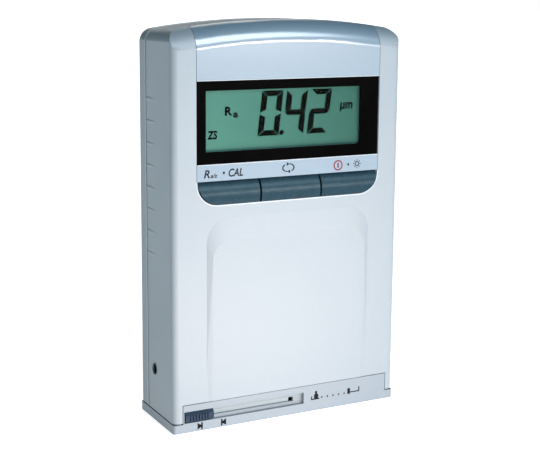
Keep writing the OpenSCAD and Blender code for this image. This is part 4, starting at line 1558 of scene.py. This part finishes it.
@dataclass
class Jack:
    """The charging socket in the left side. Sizes in millimetres."""

    paint: PaintShop
    side: float = -35.0
    depth: float = 1.75
    height: float = 14.8
    outer: float = 2.08
    inner: float = 1.6
    sides: int = 56
    proud: float = 0.08
    length: float = 0.9
    edge: float = 0.12

    def build(self) -> None:
        """Collar with rounded edges in the socket's hole."""
        collar = ring("jack_collar", (0.0, 0.0, 0.0), self.outer, self.inner, self.sides,
                      depth=self.length)
        collar.rotation_euler = (0, 0, -QUARTER)
        collar.location = Vector((self.side - self.proud, self.depth, self.height)) * MM
        settle(collar)
        soften(collar, self.edge)
        self.paint.fit(collar, SHELL, Body.CASE, "shell_silver")


@dataclass
class Inside:
    """Finishes of the CAD nodes that are shown as they are."""

    paint: PaintShop

    def build(self) -> None:
        """Finish each CAD node by its material slot, and the shutter in its own tone."""
        for part in frame["record"]["subparts"]:
            self.paint.coat(frame["nodes"][part["node"]], BY_SLOT[part["material_slot"]])
        self.paint.coat(frame["nodes"]["shutter_slide"], CREAM)


@dataclass(frozen=True)
class Sun:
    """Soft distant light: the way to it, its strength in W/m2, its spread in degrees, its tint."""

    name: str
    way: Point
    strength: float
    spread: float
    tint: Colour

    def build(self) -> None:
        """Hang the light."""
        deselect()
        bpy.ops.object.light_add(type="SUN")
        sun = named(self.name)
        sun.data.energy = self.strength
        sun.data.angle = math.radians(self.spread)
        sun.data.color = self.tint
        sun.rotation_euler = (-Vector(self.way)).to_track_quat("-Z", "Y").to_euler()


@dataclass
class Studio:
    """Floor, soft lights and the camera at the photograph's angle. Sizes in millimetres."""

    paint: PaintShop
    camera_place: Point = (-149.8, -274.9, 112.7)
    yaw: float = 25.77
    pitch: float = 9.27
    focal: float = 1128.0
    image_width: float = 540.0
    sensor: float = 36.0
    shift: Band = (0.1, -0.06)
    clip_start: float = 10.0
    floor_span: float = 40000.0
    floor_drop: float = 0.15
    surround: tuple[Band, Band] = ((0.02, 1.0), (0.10, 0.06))
    suns: tuple[Sun, ...] = (
        Sun("top_light", (0.38, -0.715, 0.585), 1.66, 23.0, (0.82, 0.93, 1.0)),
        Sun("back_light", (0.22, 0.72, 0.66), 0.7, 40.0, (1.0, 0.97, 0.92)),
        Sun("glint_light", (0.46, -0.88, 0.12), 1.1, 10.0, (1.0, 0.92, 0.88)),
    )
    box_place: Point = (-10.0, -118.0, 24.0)
    box_aim: Point = (0.0, -11.0, 40.0)
    box_size: Band = (40.0, 38.0)
    box_power: float = 0.252
    box_tint: Colour = (1.0, 0.62, 0.48)

    def floor(self) -> None:
        """Plain pale floor."""
        deselect()
        bpy.ops.mesh.primitive_plane_add(size=self.floor_span * MM,
                                         location=(0, 0, -self.floor_drop * MM))
        floor = named("floor")
        settle(floor)
        self.paint.coat(floor, PAPER)

    def softbox(self) -> None:
        """Warm box low in front, so near that it falls off upwards, and not seen in the gloss."""
        deselect()
        place, aim = Vector(self.box_place), Vector(self.box_aim)
        bpy.ops.object.light_add(type="AREA", location=place * MM,
                                 rotation=(aim - place).to_track_quat("-Z", "Y").to_euler())
        lamp = named("front_box")
        lamp.data.shape = "RECTANGLE"
        lamp.data.size, lamp.data.size_y = (length * MM for length in self.box_size)
        lamp.data.energy = self.box_power
        lamp.data.color = self.box_tint
        lamp.visible_camera = lamp.visible_glossy = False

    def sky(self) -> None:
        """Surround that is pale at the horizon and dark above."""
        world = bpy.data.worlds.new("surround")
        bpy.context.scene.world = world
        world.use_nodes = True
        nodes, links = world.node_tree.nodes, world.node_tree.links
        parts = nodes.new("ShaderNodeSeparateXYZ")
        links.new(nodes.new("ShaderNodeTexCoord").outputs["Generated"], parts.inputs["Vector"])
        ramp = nodes.new("ShaderNodeValToRGB")
        for element, (height, grey) in zip(ramp.color_ramp.elements, self.surround):
            element.position = height
            element.color = (grey, grey, grey, 1)
        links.new(parts.outputs["Z"], ramp.inputs["Fac"])
        links.new(ramp.outputs["Color"], nodes["Background"].inputs["Color"])

    def camera(self) -> None:
        """Camera at the photograph's angle."""
        deselect()
        turn = (math.radians(90 - self.pitch), 0, -math.radians(self.yaw))
        bpy.ops.object.camera_add(location=Vector(self.camera_place) * MM, rotation=turn)
        camera = named("camera")
        camera.data.sensor_width = self.sensor
        camera.data.lens = self.focal / self.image_width * self.sensor
        camera.data.shift_x, camera.data.shift_y = self.shift
        camera.data.clip_start = self.clip_start * MM
        bpy.context.scene.camera = camera

    def build(self) -> None:
        """Set up the floor, the lights and the camera."""
        self.floor()
        self.sky()
        for sun in self.suns:
            sun.build()
        self.softbox()
        self.camera()
        bpy.context.scene.view_settings.view_transform = "Standard"


def main() -> None:
    """Build the sub-assemblies in order."""
    logging.basicConfig(level=logging.INFO, format="%(name)s: %(message)s")
    paint = PaintShop()
    for kind in (Inside, Studio, Case, Screen, Keypad, Slide, Jack):
        kind(paint).build()
        log.info("%s is in place", kind.__name__)
    deselect()


if __name__ == "__main__":
    main()
